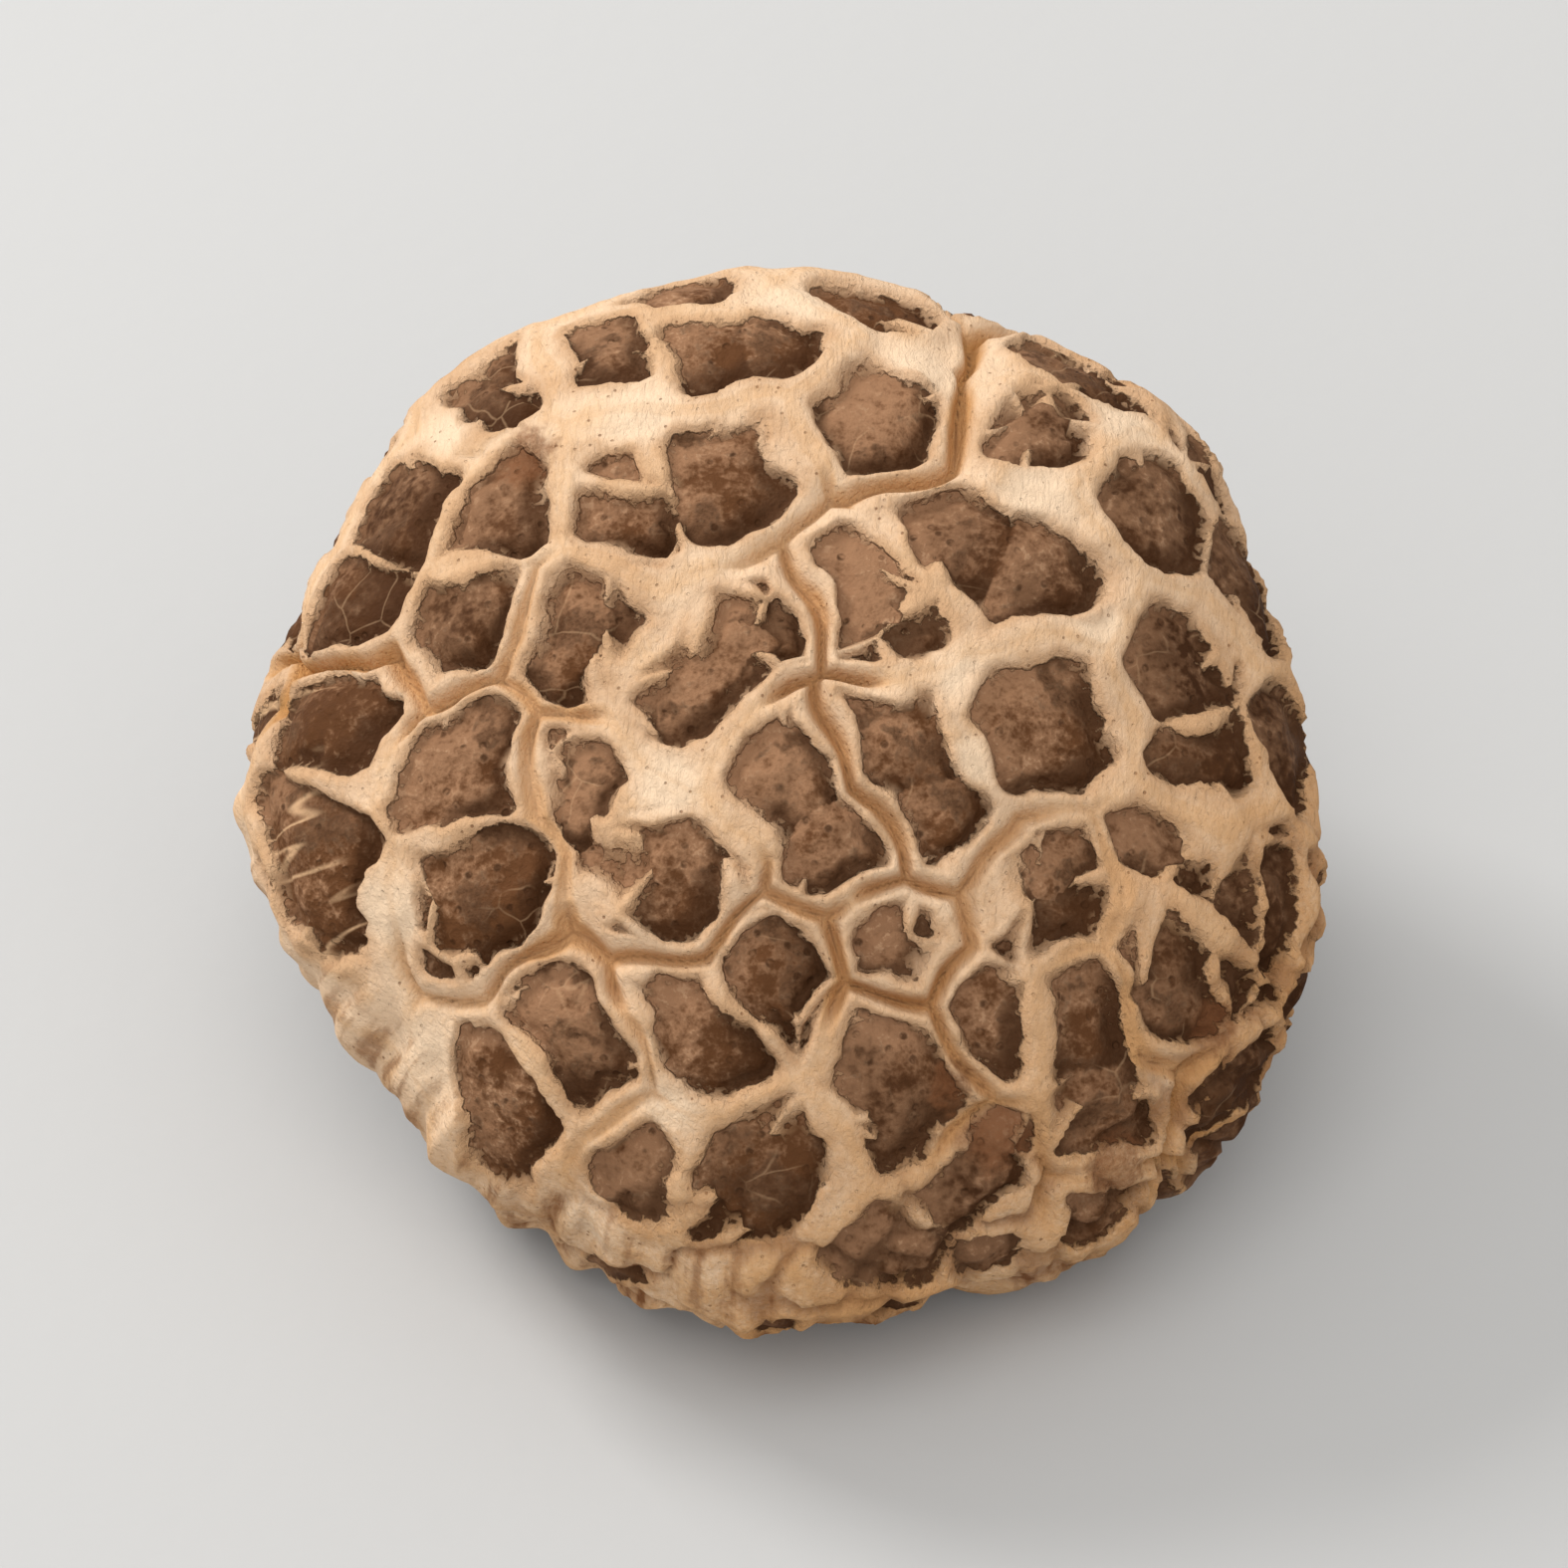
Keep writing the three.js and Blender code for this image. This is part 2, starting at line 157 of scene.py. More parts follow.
# The plates of skin as seen down on the cap, lobe by lobe. A plate is one spot or a few that run together,
# each written as its x, y and half width in cap radii.
LOBES = (
    ((-0.54, 0.75, 0.08), (-0.7, 0.54, 0.07), (-0.51, 0.49, 0.06), (-0.81, 0.34, 0.08),
     (-0.58, 0.31, 0.08)),
    ((-0.36, 0.82, 0.08), (-0.19, 0.94, 0.07), (-0.12, 0.82, 0.06, -0.02, 0.82, 0.06)),
    ((0.16, 0.69, 0.09), (0.19, 0.92, 0.08)),
    ((-0.25, 0.52, 0.07), (-0.1, 0.57, 0.1)),
    ((-0.36, 0.27, 0.08), (-0.17, 0.19, 0.08, -0.06, 0.28, 0.08)),
    ((0.02, 0.03, 0.08, 0.11, -0.08, 0.07),),
    ((-0.33, 0.02, 0.05), (-0.22, -0.13, 0.1)),
    ((0.16, 0.35, 0.1), (0.32, 0.46, 0.07, 0.46, 0.38, 0.08), (0.48, 0.65, 0.07), (0.56, 0.79, 0.07)),
    ((0.21, 0.08, 0.09, 0.26, -0.02, 0.08), (0.47, 0.12, 0.11)),
    ((0.67, 0.52, 0.06), (0.81, 0.62, 0.07), (0.88, 0.37, 0.08)),
    ((0.72, 0.24, 0.08), (0.76, 0.06, 0.07), (0.94, 0.08, 0.06)),
    ((0.69, -0.1, 0.06), (0.85, -0.17, 0.08, 0.86, -0.27, 0.07), (0.7, -0.26, 0.07, 0.72, -0.36, 0.06)),
    ((0.22, -0.24, 0.07),),
    ((0.46, -0.19, 0.08), (0.39, -0.38, 0.07)),
    ((-0.57, 0.06, 0.09), (-0.54, -0.17, 0.1)),
    ((-0.84, 0.14, 0.05, -0.76, 0.14, 0.04), (-0.87, -0.1, 0.08, -0.86, -0.2, 0.08, -0.84, -0.31, 0.08)),
    ((-0.14, -0.4, 0.08), (0, -0.33, 0.07)),
    ((-0.38, -0.43, 0.09), (-0.49, -0.52, 0.09, -0.52, -0.64, 0.09)),
    ((-0.23, -0.65, 0.06), (-0.1, -0.67, 0.08, 0.02, -0.67, 0.08)),
    ((0.21, -0.45, 0.08, 0.19, -0.54, 0.07),),
    ((0.35, -0.67, 0.06), (0.21, -0.81, 0.08), (0.41, -0.8, 0.06)),
    ((0.53, -0.42, 0.07, 0.59, -0.58, 0.08),),
    ((0.82, -0.59, 0.09), (0.57, -0.77, 0.08)),
)
# Where the skin is folded in along the border of two lobes, as lines of spots in the same view: x and y in
# cap radii, and how deep the fold is there. Other borders are closed and plain.
FOLDS = (
    ((-1, 0.2, 1.5), (-0.72, 0.2, 1), (-0.42, 0.15, 0.6), (-0.35, -0.24, 0.25)),
    ((-0.48, 0.34, 0.4), (-0.42, 0.15, 0.6)),
    ((-0.62, -0.3, 0.7), (-0.33, -0.27, 0.9), (-0.19, -0.3, 0.9), (-0.01, -0.2, 0.8), (0.09, -0.29, 1),
     (0.25, -0.35, 1.1), (0.31, -0.54, 1), (0.42, -0.7, 0.7)),
    ((0.28, 0.62, 1), (0.13, 0.49, 0.8), (0, 0.35, 0.9), (0.08, 0.18, 1), (0.13, 0, 1), (0.22, -0.14, 1),
     (0.29, -0.2, 0.8), (0.25, -0.35, 1.1)),
    ((0.28, 0.62, 1), (0.36, 0.8, 1.3), (0.4, 0.95, 1.6)),
    ((0.22, -0.14, 1), (0.43, -0.1, 0.7), (0.56, -0.12, 0.3)),
    ((0.58, -0.3, 0.4), (0.68, -0.5, 0.8), (0.78, -0.72, 1.2)),
    ((-0.28, -0.45, 0.5), (-0.3, -0.62, 0.3)),
)
# Where the pale net broadens: x and y in cap radii, and the reach in millimetres
BROAD_SPOTS = ((0.02, 0.9, 3), (0.25, 0.78, 3), (-0.26, 0.68, 3), (-0.6, 0.66, 3), (0.46, 0.53, 3),
               (0.57, 0.3, 2), (-0.7, -0.2, 3), (-0.65, -0.45, 4), (-0.2, 0.02, 2.5), (-0.34, -0.74, 3),
               (0.7, -0.5, 3), (0.32, 0.2, 2), (0.34, 0.06, 2.2), (0.62, 0.67, 2.6), (-0.2, -0.53, 2.6),
               (0.06, -0.68, 2.6))
# Where the net is narrow and the plates crowd together, in the same way
CROWDED_SPOTS = ((0.6, -0.3, 9), (-0.33, -0.1, 4), (-0.42, 0.68, 4), (0.45, -0.62, 4))
# Where the skin is darkest, in the same way
DARK_SPOTS = ((-0.72, 0.54, 4), (-0.58, 0.31, 3), (0.34, 0.46, 3.5), (0.48, 0.36, 3.5), (0.72, 0.24, 3),
              (0.92, 0.3, 5), (0.35, -0.68, 3.5), (0.19, -0.53, 3), (0.84, -0.6, 4), (-0.85, -0.3, 3))
# Where the flesh is stained red-brown, in the same way
STAINED_SPOTS = ((-0.46, 0.6, 2.6), (0.38, -0.6, 2.8), (0.6, -0.66, 2.5), (0.3, -0.5, 1.8),
                 (0.78, -0.42, 2))
# The torn edges of the plates follow the borders of small scattered shreds
SHREDS = 4200
SHRED_BLEND = 0.4
SHRED_SHARE = 0.4
# Further plates stand in rings at the waist and under it: station, count
PLATE_RINGS = ((1, 36), (1.13, 36))
RING_PLATE = 1.5
RING_SPACING = 3.3
# Stations run along the cap's outline. The waist lies at this polar angle of the ball that becomes the cap.
LAST_STATION = 3
STATION_STEPS = 600
WAIST_ANGLE = math.radians(106)

# Fields that the cap's finish reads, and its textures with their size in millimetres, detail and roughness
CAP_FIELDS = ("inside", "crease", "fold", "station", "side", "tone", "dark", "weathered", "bare", "broad",
              "puckers", "stained", "scratched")
CAP_SPECKLES = {
    "grain": (0.16, 2, 0.5),
    "fine": (0.42, 3, 0.5),
    "suede": (0.3, 6, 0.75),
    "coarse": (1.7, 3, 0.5),
    "wide": (6, 2, 0.5),
}
CAP_BUMP = 0.2
GILL_BUMP = 0.1
STEM_BUMP = 0.25
FLOOR_BUMP = 0.02

# Square soft lights: the way towards each, its distance and width in metres, and its power in watts
LIGHTS = {
    "key": ((-0.9, 0.7, 0.9), 0.6, 0.17, 2.5),
    "fill": ((-0.4, -0.9, 0.8), 0.7, 0.6, 0.38),
    "top": ((-0.1, -0.2, 1.0), 0.8, 0.5, 2.05),
}
WORLD_STRENGTH = 0.84
FLOOR_HALF_WIDTH = 3
SENSOR_WIDTH = 36
CLIP_DISTANCES = (0.01, 20)


# Shapes that the skin, the gills and the stem share

def ramp(x, low, high):
    """0 below low, 1 above high, and a smooth rise between them."""
    share = np.clip((x - low) / (high - low), 0, 1)
    return share * share * (3 - 2 * share)


def scatter(n):
    """A number from 0 to 1 that looks random and depends on n alone."""
    s = np.sin(n * 12.9898) * 43758.5453
    return s - np.floor(s)


def cloud(points, size, seed=0):
    """Smooth random values from -1 to 1 over space, with humps about one size apart."""
    place = points / size + seed * 17.37
    cell = np.floor(place).astype(np.int64)
    share = ramp(place - cell, 0, 1)
    total = np.zeros(len(points))
    for corner in itertools.product((0, 1), repeat=3):
        near = (cell + corner) * (73856093, 19349663, 83492791)
        mixed = (near[:, 0] ^ near[:, 1] ^ near[:, 2]) * 668265263
        value = ((mixed >> 13) & 0xFFFF) / 0x7FFF - 1
        total += value * np.prod(np.where(corner, share, 1 - share), axis=1)
    return total


def clouds(points, layers):
    return sum(height * cloud(points, size, seed) for height, size, seed in layers)


def torn_lines(points, size):
    """Distance to the nearest border between scattered cells of about a size."""
    distance = np.empty(len(points))
    for i, place in enumerate(points / size):
        (first, second, *_), (near, next_near, *_) = noise.voronoi(place)
        distance[i] = (second ** 2 - first ** 2) / (2 * (next_near - near).length)
    return distance * size


def meridian(station):
    """The cap's outline through its axis: radius and height. Station 0 is the top, 1 the waist, 1.5 the
    lowest ring, 2 the lip and 3 the middle of the hollow's roof."""
    dome = station * math.pi / 2
    rim = (station - 1) * math.pi
    roof = (station - 2) * math.pi / 2
    reach = np.where(station < 1.5, CAP_RADIUS - RIM_RADIUS, RIM_RADIUS - LIP_RADIUS)
    where = (station < 1, station < 2)
    radius = np.select(where, (CAP_RADIUS * np.sin(dome), RIM_RADIUS + reach * np.cos(rim)),
                       LIP_RADIUS * np.cos(roof))
    height = np.select(where, (WAIST + (CAP_TOP - WAIST) * np.cos(dome), WAIST * (1 - np.sin(rim))),
                       WAIST + (ROOF - WAIST) * np.sin(roof))
    return radius, height


def stations_of(angles):
    """The stations that lie at polar angles of a sphere laid on the meridian without squeezing it."""
    steps = np.arange(STATION_STEPS) * LAST_STATION / STATION_STEPS
    radius, height = meridian(steps)
    length = np.hypot(np.diff(radius), np.diff(height))
    stretch = np.cumsum(2 * length / (radius[1:] + radius[:-1]))
    waist = stretch[STATION_STEPS // LAST_STATION - 1]
    known = 2 * np.arctan(np.exp(stretch - waist) * math.tan(WAIST_ANGLE / 2))
    return np.interp(angles, (0, *known, math.pi), (*steps, LAST_STATION))


def around_axis(radius, height, azimuth):
    return np.stack((radius * np.cos(azimuth), radius * np.sin(azimuth), height), axis=-1)


def skin_point(station, azimuth):
    return around_axis(*meridian(station), azimuth)


def skin_normal(station, azimuth):
    step = 0.004
    low_radius, low_height = meridian(np.maximum(station - step, 0))
    high_radius, high_height = meridian(np.minimum(station + step, LAST_STATION))
    across, up = low_height - high_height, high_radius - low_radius
    length = np.hypot(across, up)
    return around_axis(across / length, up / length, azimuth)


def waves(azimuth, table):
    return sum(height * np.cos(count * (azimuth + math.radians(turn))) for height, count, turn in table)


def outline(azimuth):
    """How much wider than a circle the mushroom grew at an azimuth."""
    return 1 + waves(azimuth, OUTLINE_WAVES)


def looseness(radius):
    """How much of the uneven outline and of the rim's waves there is at a radius."""
    return ramp(radius, CALM_RADIUS, RIM_RADIUS)


def grow(points):
    """Moves points as the whole mushroom grew out of true."""
    x, y, z = points.T
    azimuth = np.arctan2(y, x)
    loose = looseness(np.hypot(x, y))
    wider = 1 + (outline(azimuth) - 1) * loose
    low = np.clip((CAP_TOP - z) / CAP_TOP, 0, 1)
    return np.stack((x * wider, y * wider, z + waves(azimuth, RIM_WAVES) * loose * low), axis=-1)


def axis_place():
    """Where the mushroom's axis meets its rim plane, in millimetres of the row frame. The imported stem's box
    gives the place of its flat round top, square to the axis."""
    low, high = (np.array(corner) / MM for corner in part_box("stem"))
    top = STEM_RADIUS + STEM_FLARE
    x = (low[0] + high[0]) / 2
    y = low[1] + top * math.cos(TILT) + STEM_TOP * math.sin(TILT)
    z = high[2] - STEM_TOP * math.cos(TILT) - top * math.sin(TILT)
    return np.array((x, y, z))


AXIS_PLACE = axis_place()
LEANING = np.array(Matrix.Rotation(TILT, 3, "X"))


def to_row(points):
    """Millimetres in the mushroom's frame to metres in the row frame, kept above the floor."""
    placed = points @ LEANING.T + AXIS_PLACE
    placed[:, 2] = np.maximum(placed[:, 2], 0)
    return placed * MM


# Plates, creases and relief of the cap

def spot_on_cap(x, y):
    """Where a spot seen at x and y, in cap radii, lies on the smooth cap."""
    across = x * CAP_RADIUS
    rise = (CAP_TOP - WAIST) * math.sqrt(max(0, 1 - x * x - y * y))
    along = (y * CAP_RADIUS - rise * math.sin(VIEW_LEAN)) / math.cos(VIEW_LEAN)
    azimuth = math.atan2(along, across)
    radius = math.hypot(across, along)
    share = radius / (1 + (outline(azimuth) - 1) * looseness(radius)) / CAP_RADIUS
    return skin_point(2 / math.pi * math.asin(min(share, 0.99)), azimuth)


def skin_spots():
    """The spots' places, half widths, plates and lobes, as four arrays."""
    spots = []
    for lobe, plates in enumerate(LOBES):
        for number, plate in enumerate(plates):
            for x, y, half in zip(plate[::3], plate[1::3], plate[2::3]):
                spots.append((spot_on_cap(x, y), half * CAP_RADIUS, 10 * lobe + number, lobe))
    for ring, (station, count) in enumerate(PLATE_RINGS, start=1):
        for i in range(count):
            seed = 100 * ring + i
            azimuth = (i + 0.5 * (scatter(seed) - 0.5)) / count * 2 * math.pi
            place = skin_point(station + 0.05 * (scatter(seed + 50) - 0.5), azimuth)
            if all(np.linalg.norm(spot[0] - place) > RING_SPACING for spot in spots):
                spots.append((place, RING_PLATE, 1000 + seed, 1000 + seed))
    return tuple(np.array(column) for column in zip(*spots))


def wander(points):
    """Shifts points a little, so that straight borders become wavy."""
    x, y, z = points.T
    aside = (np.sin(0.63 * y + 1.3) + 0.6 * np.sin(1.22 * x - 0.9 * y + 0.4 * z),
             np.sin(0.6 * x + 4.1) + 0.6 * np.sin(1.07 * y + 0.98 * x + 2),
             np.sin(0.7 * z + 0.5 * x + 2.2))
    return points + WANDER * np.stack(aside, axis=-1)


def borders(points):
    """For each point: its distance to the border of its lobe and of its plate's share of it, how far it is
    inside its plate's widest circle and towards its front right in half widths, its plate and its lobe."""
    places, halves, plates, lobes = skin_spots()
    wandered = wander(points)
    powers = ((wandered[:, None] - places) ** 2).sum(axis=2) - halves ** 2
    own = powers.argmin(axis=1)
    rows = np.arange(len(points))
    apart = np.linalg.norm(places[own][:, None] - places, axis=2)
    distance = (powers - powers[rows, own][:, None]) / (2 * np.maximum(apart, 1e-6))
    other_plate = plates[own][:, None] != plates
    other_lobe = lobes[own][:, None] != lobes
    crease = np.where(other_lobe, distance, np.inf).min(axis=1)
    crack = np.where(other_plate & ~other_lobe, distance, np.inf).min(axis=1)
    offset = wandered - places[own]
    spare = 1.35 * halves[own] + 0.3 - np.linalg.norm(offset, axis=1)
    side = (offset @ (0.75, -0.65, 0)) / halves[own]
    return crease, crack, spare, side, plates[own], lobes[own]


def fold_depth(points):
    """How deep the folds are by each point, 0 away from them."""
    depth = np.zeros(len(points))
    for line in FOLDS:
        for (x, y, deep), (next_x, next_y, next_deep) in itertools.pairwise(line):
            start = spot_on_cap(x, y)
            along = spot_on_cap(next_x, next_y) - start
            share = np.clip((points - start) @ along / (along @ along), 0, 1)
            distance = np.linalg.norm(points - start - share[:, None] * along, axis=1)
            here = deep + (next_deep - deep) * share
            depth = np.maximum(depth, here * (1 - ramp(distance, *FOLD_REACH)))
    return depth


def stretch_of(station, azimuth, facing, cosines, stations):
    """1 on a stretch of the dome that faces a way, falling to 0 round it."""
    turn = np.cos(azimuth - math.radians(facing))
    return ramp(turn, *cosines) * ramp(station, *stations)


def bare_margin(station, azimuth):
    """Where the skin is worn off the turned-down margin, broadly in front and narrowly beside it."""
    return np.maximum(stretch_of(station, azimuth, *BARE_FRONT), stretch_of(station, azimuth, *BARE_BESIDE))


def near_spots(points, spots):
    """1 at the spots, falling to 0 at the reach of each."""
    near = np.zeros(len(points))
    for x, y, reach in spots:
        distance = np.linalg.norm(points - spot_on_cap(x, y), axis=1)
        near = np.maximum(near, 1 - ramp(distance, 0, reach))
    return near


def plate_margin(points, station, azimuth, crease, crack, spare):
    """How far each point is inside its plate's edge, below 0 on bare flesh."""
    rim = ramp(station, 1.12, 1.3)
    back = ramp(points[:, 1], 4, 16)
    right = stretch_of(station, azimuth, *CLOSE_NET)
    net = (NET_HALF_WIDTH - 0.4 * ramp(station, 0.8, 0.98)) * (1 + 0.35 * back) * (1 - 0.5 * right)
    by_crease = crease - net * (1 + 0.4 * cloud(points, 7, 3))
    by_crack = crack - CRACK_HALF_WIDTH * (1 + 0.7 * cloud(points, 5, 9)) * (1 - 0.4 * right)
    inside = -CORNER_RADIUS * np.logaddexp(-by_crease / CORNER_RADIUS, -by_crack / CORNER_RADIUS)
    limit = 1.15 - 0.8 * back + 0.6 * right + ramp(station, 0.95, 1.05)
    inside = np.minimum(inside, spare + limit)
    inside += 0.6 * near_spots(points, CROWDED_SPOTS) - near_spots(points, BROAD_SPOTS)
    inside += clouds(points, EDGE_NOISE)
    inside -= bare_margin(station, azimuth) * (2 + 1.6 * cloud(points, 2.6, 17))
    return inside + (RIM_INSIDE - inside) * rim


def margins_at(station, azimuth):
    """The smooth skin's points with their borders, and how far they are inside their plates."""
    smooth = skin_point(station, azimuth)
    crease, crack, spare, side, plate, lobe = borders(smooth)
    inside = plate_margin(smooth, station, azimuth, crease, crack, spare)
    return smooth, crease, side, plate, lobe, inside


def shredded(points, inside):
    """Makes the edges of the plates angular, as if the skin had torn along small scattered shreds."""
    order = np.arange(SHREDS)
    turn, drop = scatter(order + 0.37), scatter(order * 1.618 + 11)
    places, _, _, _, _, shares = margins_at(stations_of(np.arccos(1 - 1.3 * drop)), 2 * math.pi * turn)
    tree = kdtree.KDTree(SHREDS)
    for i, place in enumerate(places):
        tree.insert(place, i)
    tree.balance()
    near = np.array([[(i, distance) for _, i, distance in tree.find_n(point, 4)] for point in points])
    weight = np.exp((near[:, :1, 1] ** 2 - near[:, :, 1] ** 2) / SHRED_BLEND ** 2)
    torn = (weight * shares[near[:, :, 0].astype(int)]).sum(axis=1) / weight.sum(axis=1)
    return inside + SHRED_SHARE * (torn - inside)


def crack_plates(points, station, azimuth, inside):
    """Splits the plates along scattered cracks, more of them towards the right-hand margin."""
    split = stretch_of(station, azimuth, *SPLIT_PLATES)
    notch = 0.55 * np.maximum(0, 0.05 + 0.5 * split + 1.2 * cloud(points, 4.2, 10) - inside / 2.8)
    notch *= 1 - ramp(station, 1.05, 1.15)
    cracks = torn_lines(wander(points), CRACK_SPACING) - notch + 0.1 * cloud(points, 0.9, 20)
    drawn_in = inside - 0.15 * ramp(notch, 0.1, 0.4)
    return np.where(notch > 0.1, np.minimum(drawn_in, cracks), inside)


def dome_relief(points, station, crease, fold, side, lobe, inside):
    """How high the dome's skin stands: lobes with folds between them, and sunken plates in raised flesh."""
    fresh = 1 - 0.35 * ramp(station, 0.85, 1.05)
    groove = -FOLD_GROOVE * fold * (1 - ramp(crease / (0.36 + 0.16 * fold), 0, 1))
    ridge = BORDER_RIDGE * np.maximum(0, 1 - fold) * (1 - ramp(crease, 0.1, 1.1))
    lip = PLATE_LIP * np.exp(-((inside + 0.42) / 0.36) ** 2) * (0.3 + 0.7 * np.minimum(fold, 1))
    dip = np.maximum(0, 0.02 + 0.22 * ramp(side, 0, 1.1) + 0.25 * cloud(points, 2.6, 14))
    trench = -dip * np.exp(-((inside - 0.22) / 0.32) ** 2)
    sunk = -PLATE_SINK * ramp(inside, -0.28, 0.22) + PLATE_CROWN * ramp(inside, 0.1, 1.6)
    lobes = LOBE_HEIGHT * (ramp(crease, 0, 4) - 0.5) * (0.35 + 0.65 * fold)
    lifted = LOBE_LIFT * (scatter(lobe * 3.7 + 1) - 0.5) * ramp(crease, 0, 1.6)
    wave = DOME_WAVE * np.sin(0.31 * points[:, 0] + 1) * np.cos(0.27 * points[:, 1] + 0.5)
    wave += MARGIN_WAVE * cloud(points, 5.5, 19) * ramp(station, 0.65, 0.95)
    leather = ramp(inside, 0, 0.3) * clouds(points, LEATHER_NOISE)
    flesh = (1 - ramp(inside, -0.2, 0.1)) * clouds(points, FLESH_NOISE)
    return (groove + ridge + lip + trench + sunk) * fresh + lobes + lifted + wave + leather + flesh


def cap_surface(points):
    """Moves a unit ball's points onto the cap's skin. Gives them and the fields that its finish reads."""
    azimuth = np.arctan2(points[:, 1], points[:, 0])
    station = stations_of(np.arccos(np.clip(points[:, 2], -1, 1)))
    smooth, crease, side, plate, lobe, inside = margins_at(station, azimuth)
    on_dome = 1 - ramp(station, 1.05, 1.25)
    on_rim = ramp(station, 0.98, 1.2) * (1 - ramp(station, 1.75, 2))
    inside += (shredded(smooth, inside) - inside) * on_dome
    inside = crack_plates(smooth, station, azimuth, inside)
    fold = fold_depth(smooth)
    bare = bare_margin(station, azimuth) * (1 - ramp(inside, -0.3, 0.1))
    # Weathered front-right margin, which the finish also darkens as painted shade
    weathered = stretch_of(station, azimuth, *WEATHERED_AND_SHADED)
    puckers = 1 - ramp(np.abs(clouds(smooth, PUCKER_NOISE)), 0.02, 0.3)
    puckers *= ramp(weathered, 0.35, 0.85)
    dark = 1.1 * stretch_of(station, azimuth, *DARK_RIGHT) + 0.5 * stretch_of(station, azimuth, *DARK_LEFT)

    spokes = around_axis(1, 0.13 * station, azimuth)
    wrinkles = clouds(spokes, WRINKLE_NOISE)
    bend = 2 * np.sin(3 * azimuth) + 1.4 * np.sin(7 * azimuth + 1) + 3 * station
    ribs = RIB_HEIGHT * np.cos(RIB_COUNT * azimuth + bend)
    relief = dome_relief(smooth, station, crease, fold, side, lobe, inside)
    height = (relief - PUCKER_DEPTH * puckers) * on_dome + (ribs + wrinkles) * on_rim
    height += BARE_WRINKLES * wrinkles * bare * (1 - on_rim)
    fields = dict(
        inside=inside, crease=crease, fold=fold, station=station, side=side, bare=bare, weathered=weathered,
        puckers=puckers, spokes=spokes, tone=scatter(plate * 1.7 + 3),
        dark=dark + near_spots(smooth, DARK_SPOTS), broad=near_spots(smooth, BROAD_SPOTS),
        stained=near_spots(smooth, STAINED_SPOTS), scratched=stretch_of(station, azimuth, *SCRATCHED))
    return grow(smooth + skin_normal(station, azimuth) * height[:, None]), fields


# Meshes

def add_object(name, data):
    made = bpy.data.objects.new(name, data)
    bpy.context.scene.collection.objects.link(made)
    return made


def add_mesh(name, builder, material):
    mesh = bpy.data.meshes.new(name)
    builder.to_mesh(mesh)
    builder.free()
    mesh.materials.append(material)
    return add_object(name, mesh)


def finish_piece(name, builder, material, node):
    """Makes a piece of a bmesh, gives it its finish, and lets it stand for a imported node."""
    piece = add_mesh(name, builder, material)
    piece.data.shade_smooth()
    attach(piece, ROOT)
    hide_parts(node)
    return piece


def places_of(mesh):
    flat = np.empty(3 * len(mesh.vertices))
    mesh.vertices.foreach_get("co", flat)
    return flat.reshape(-1, 3)


def reshape(mesh, points, fields):
    """Moves a mesh's vertices to the row frame and keeps the fields that its finish reads."""
    mesh.vertices.foreach_set("co", to_row(points).ravel())
    mesh.update()
    for name, values in fields.items():
        kind, key = ("FLOAT", "value") if values.ndim == 1 else ("FLOAT_VECTOR", "vector")
        mesh.attributes.new(name, kind, "POINT").data.foreach_set(key, values.ravel())


def build_cap(settings):
    """A ball of small triangles, laid on the cap's skin."""
    builder = bmesh.new()
    bmesh.ops.create_icosphere(builder, subdivisions=settings.fineness, radius=1)
    bmesh.ops.subdivide_edges(builder, edges=builder.edges, cuts=2, use_grid_fill=True)
    cap = finish_piece("cracked_cap", builder, cap_finish(settings), "cap")
    points = places_of(cap.data)
    reshape(cap.data, *cap_surface(points / np.linalg.norm(points, axis=1)[:, None]))


def roof_height(radius):
    return WAIST + (ROOF - WAIST) * np.sqrt(np.maximum(0, 1 - (radius / LIP_RADIUS) ** 2))


def gill_blade(unit, number, settings):
    """One blade's points, from those of a flat strip, and how far down the blade each one is."""
    along, down = (unit[:, 0] + 1) / 2, (unit[:, 1] + 1) / 2
    face = np.sign(unit[:, 2] - unit[:, 2].mean())
    start = GILL_STARTS[number % len(GILL_STARTS)] + 0.8 * (scatter(number) - 0.5)
    radius = start + (LIP_RADIUS + GILL_ROOT - start) * along
    turn = 2 * math.pi * (number + 0.5 * (scatter(number + 9) - 0.5)) / settings.count
    ripple = 0.014 * down * np.sin(2.3 * radius + 5 * scatter(number + 31))
    half = settings.thickness / MM / 2 * (1 - 0.55 * down)
    sway = 0.03 * np.sin(0.9 * radius + 2 * turn) + 0.015 * np.sin(1.9 * radius - 3 * turn)
    azimuth = turn + sway + ripple + face * half / radius
    taper = ramp(along, 0, 0.16) * (1 - 0.35 * ramp(along, 0.86, 1))
    bottom = GILL_EDGE + 0.25 * np.sin(1.7 * radius + 4 * scatter(number + 77)) - 0.2
    top = roof_height(np.minimum(radius, LIP_RADIUS - 0.4)) + 0.4
    height = top - (top - bottom) * down * (0.25 + 0.75 * taper)
    return grow(around_axis(radius, height, azimuth)), down


def build_gills(settings):
    """Thin closed blades all round the stem, of several lengths in turn, with their roots in the roof."""
    builder = bmesh.new()
    bmesh.ops.create_grid(builder, x_segments=settings.steps, y_segments=2, size=1)
    bmesh.ops.solidify(builder, geom=builder.faces[:], thickness=0.1)
    blade = bpy.data.meshes.new("blade")
    builder.to_mesh(blade)
    builder.free()
    unit = places_of(blade)
    builder = bmesh.new()
    for _ in range(settings.count):
        builder.from_mesh(blade)
    gills = finish_piece("gill_blades", builder, gill_finish(settings), "gills")
    bpy.data.meshes.remove(blade)
    blades = [gill_blade(unit, number, settings) for number in range(settings.count)]
    points, depths = (np.concatenate(part) for part in zip(*blades))
    reshape(gills.data, points, {"down": depths})


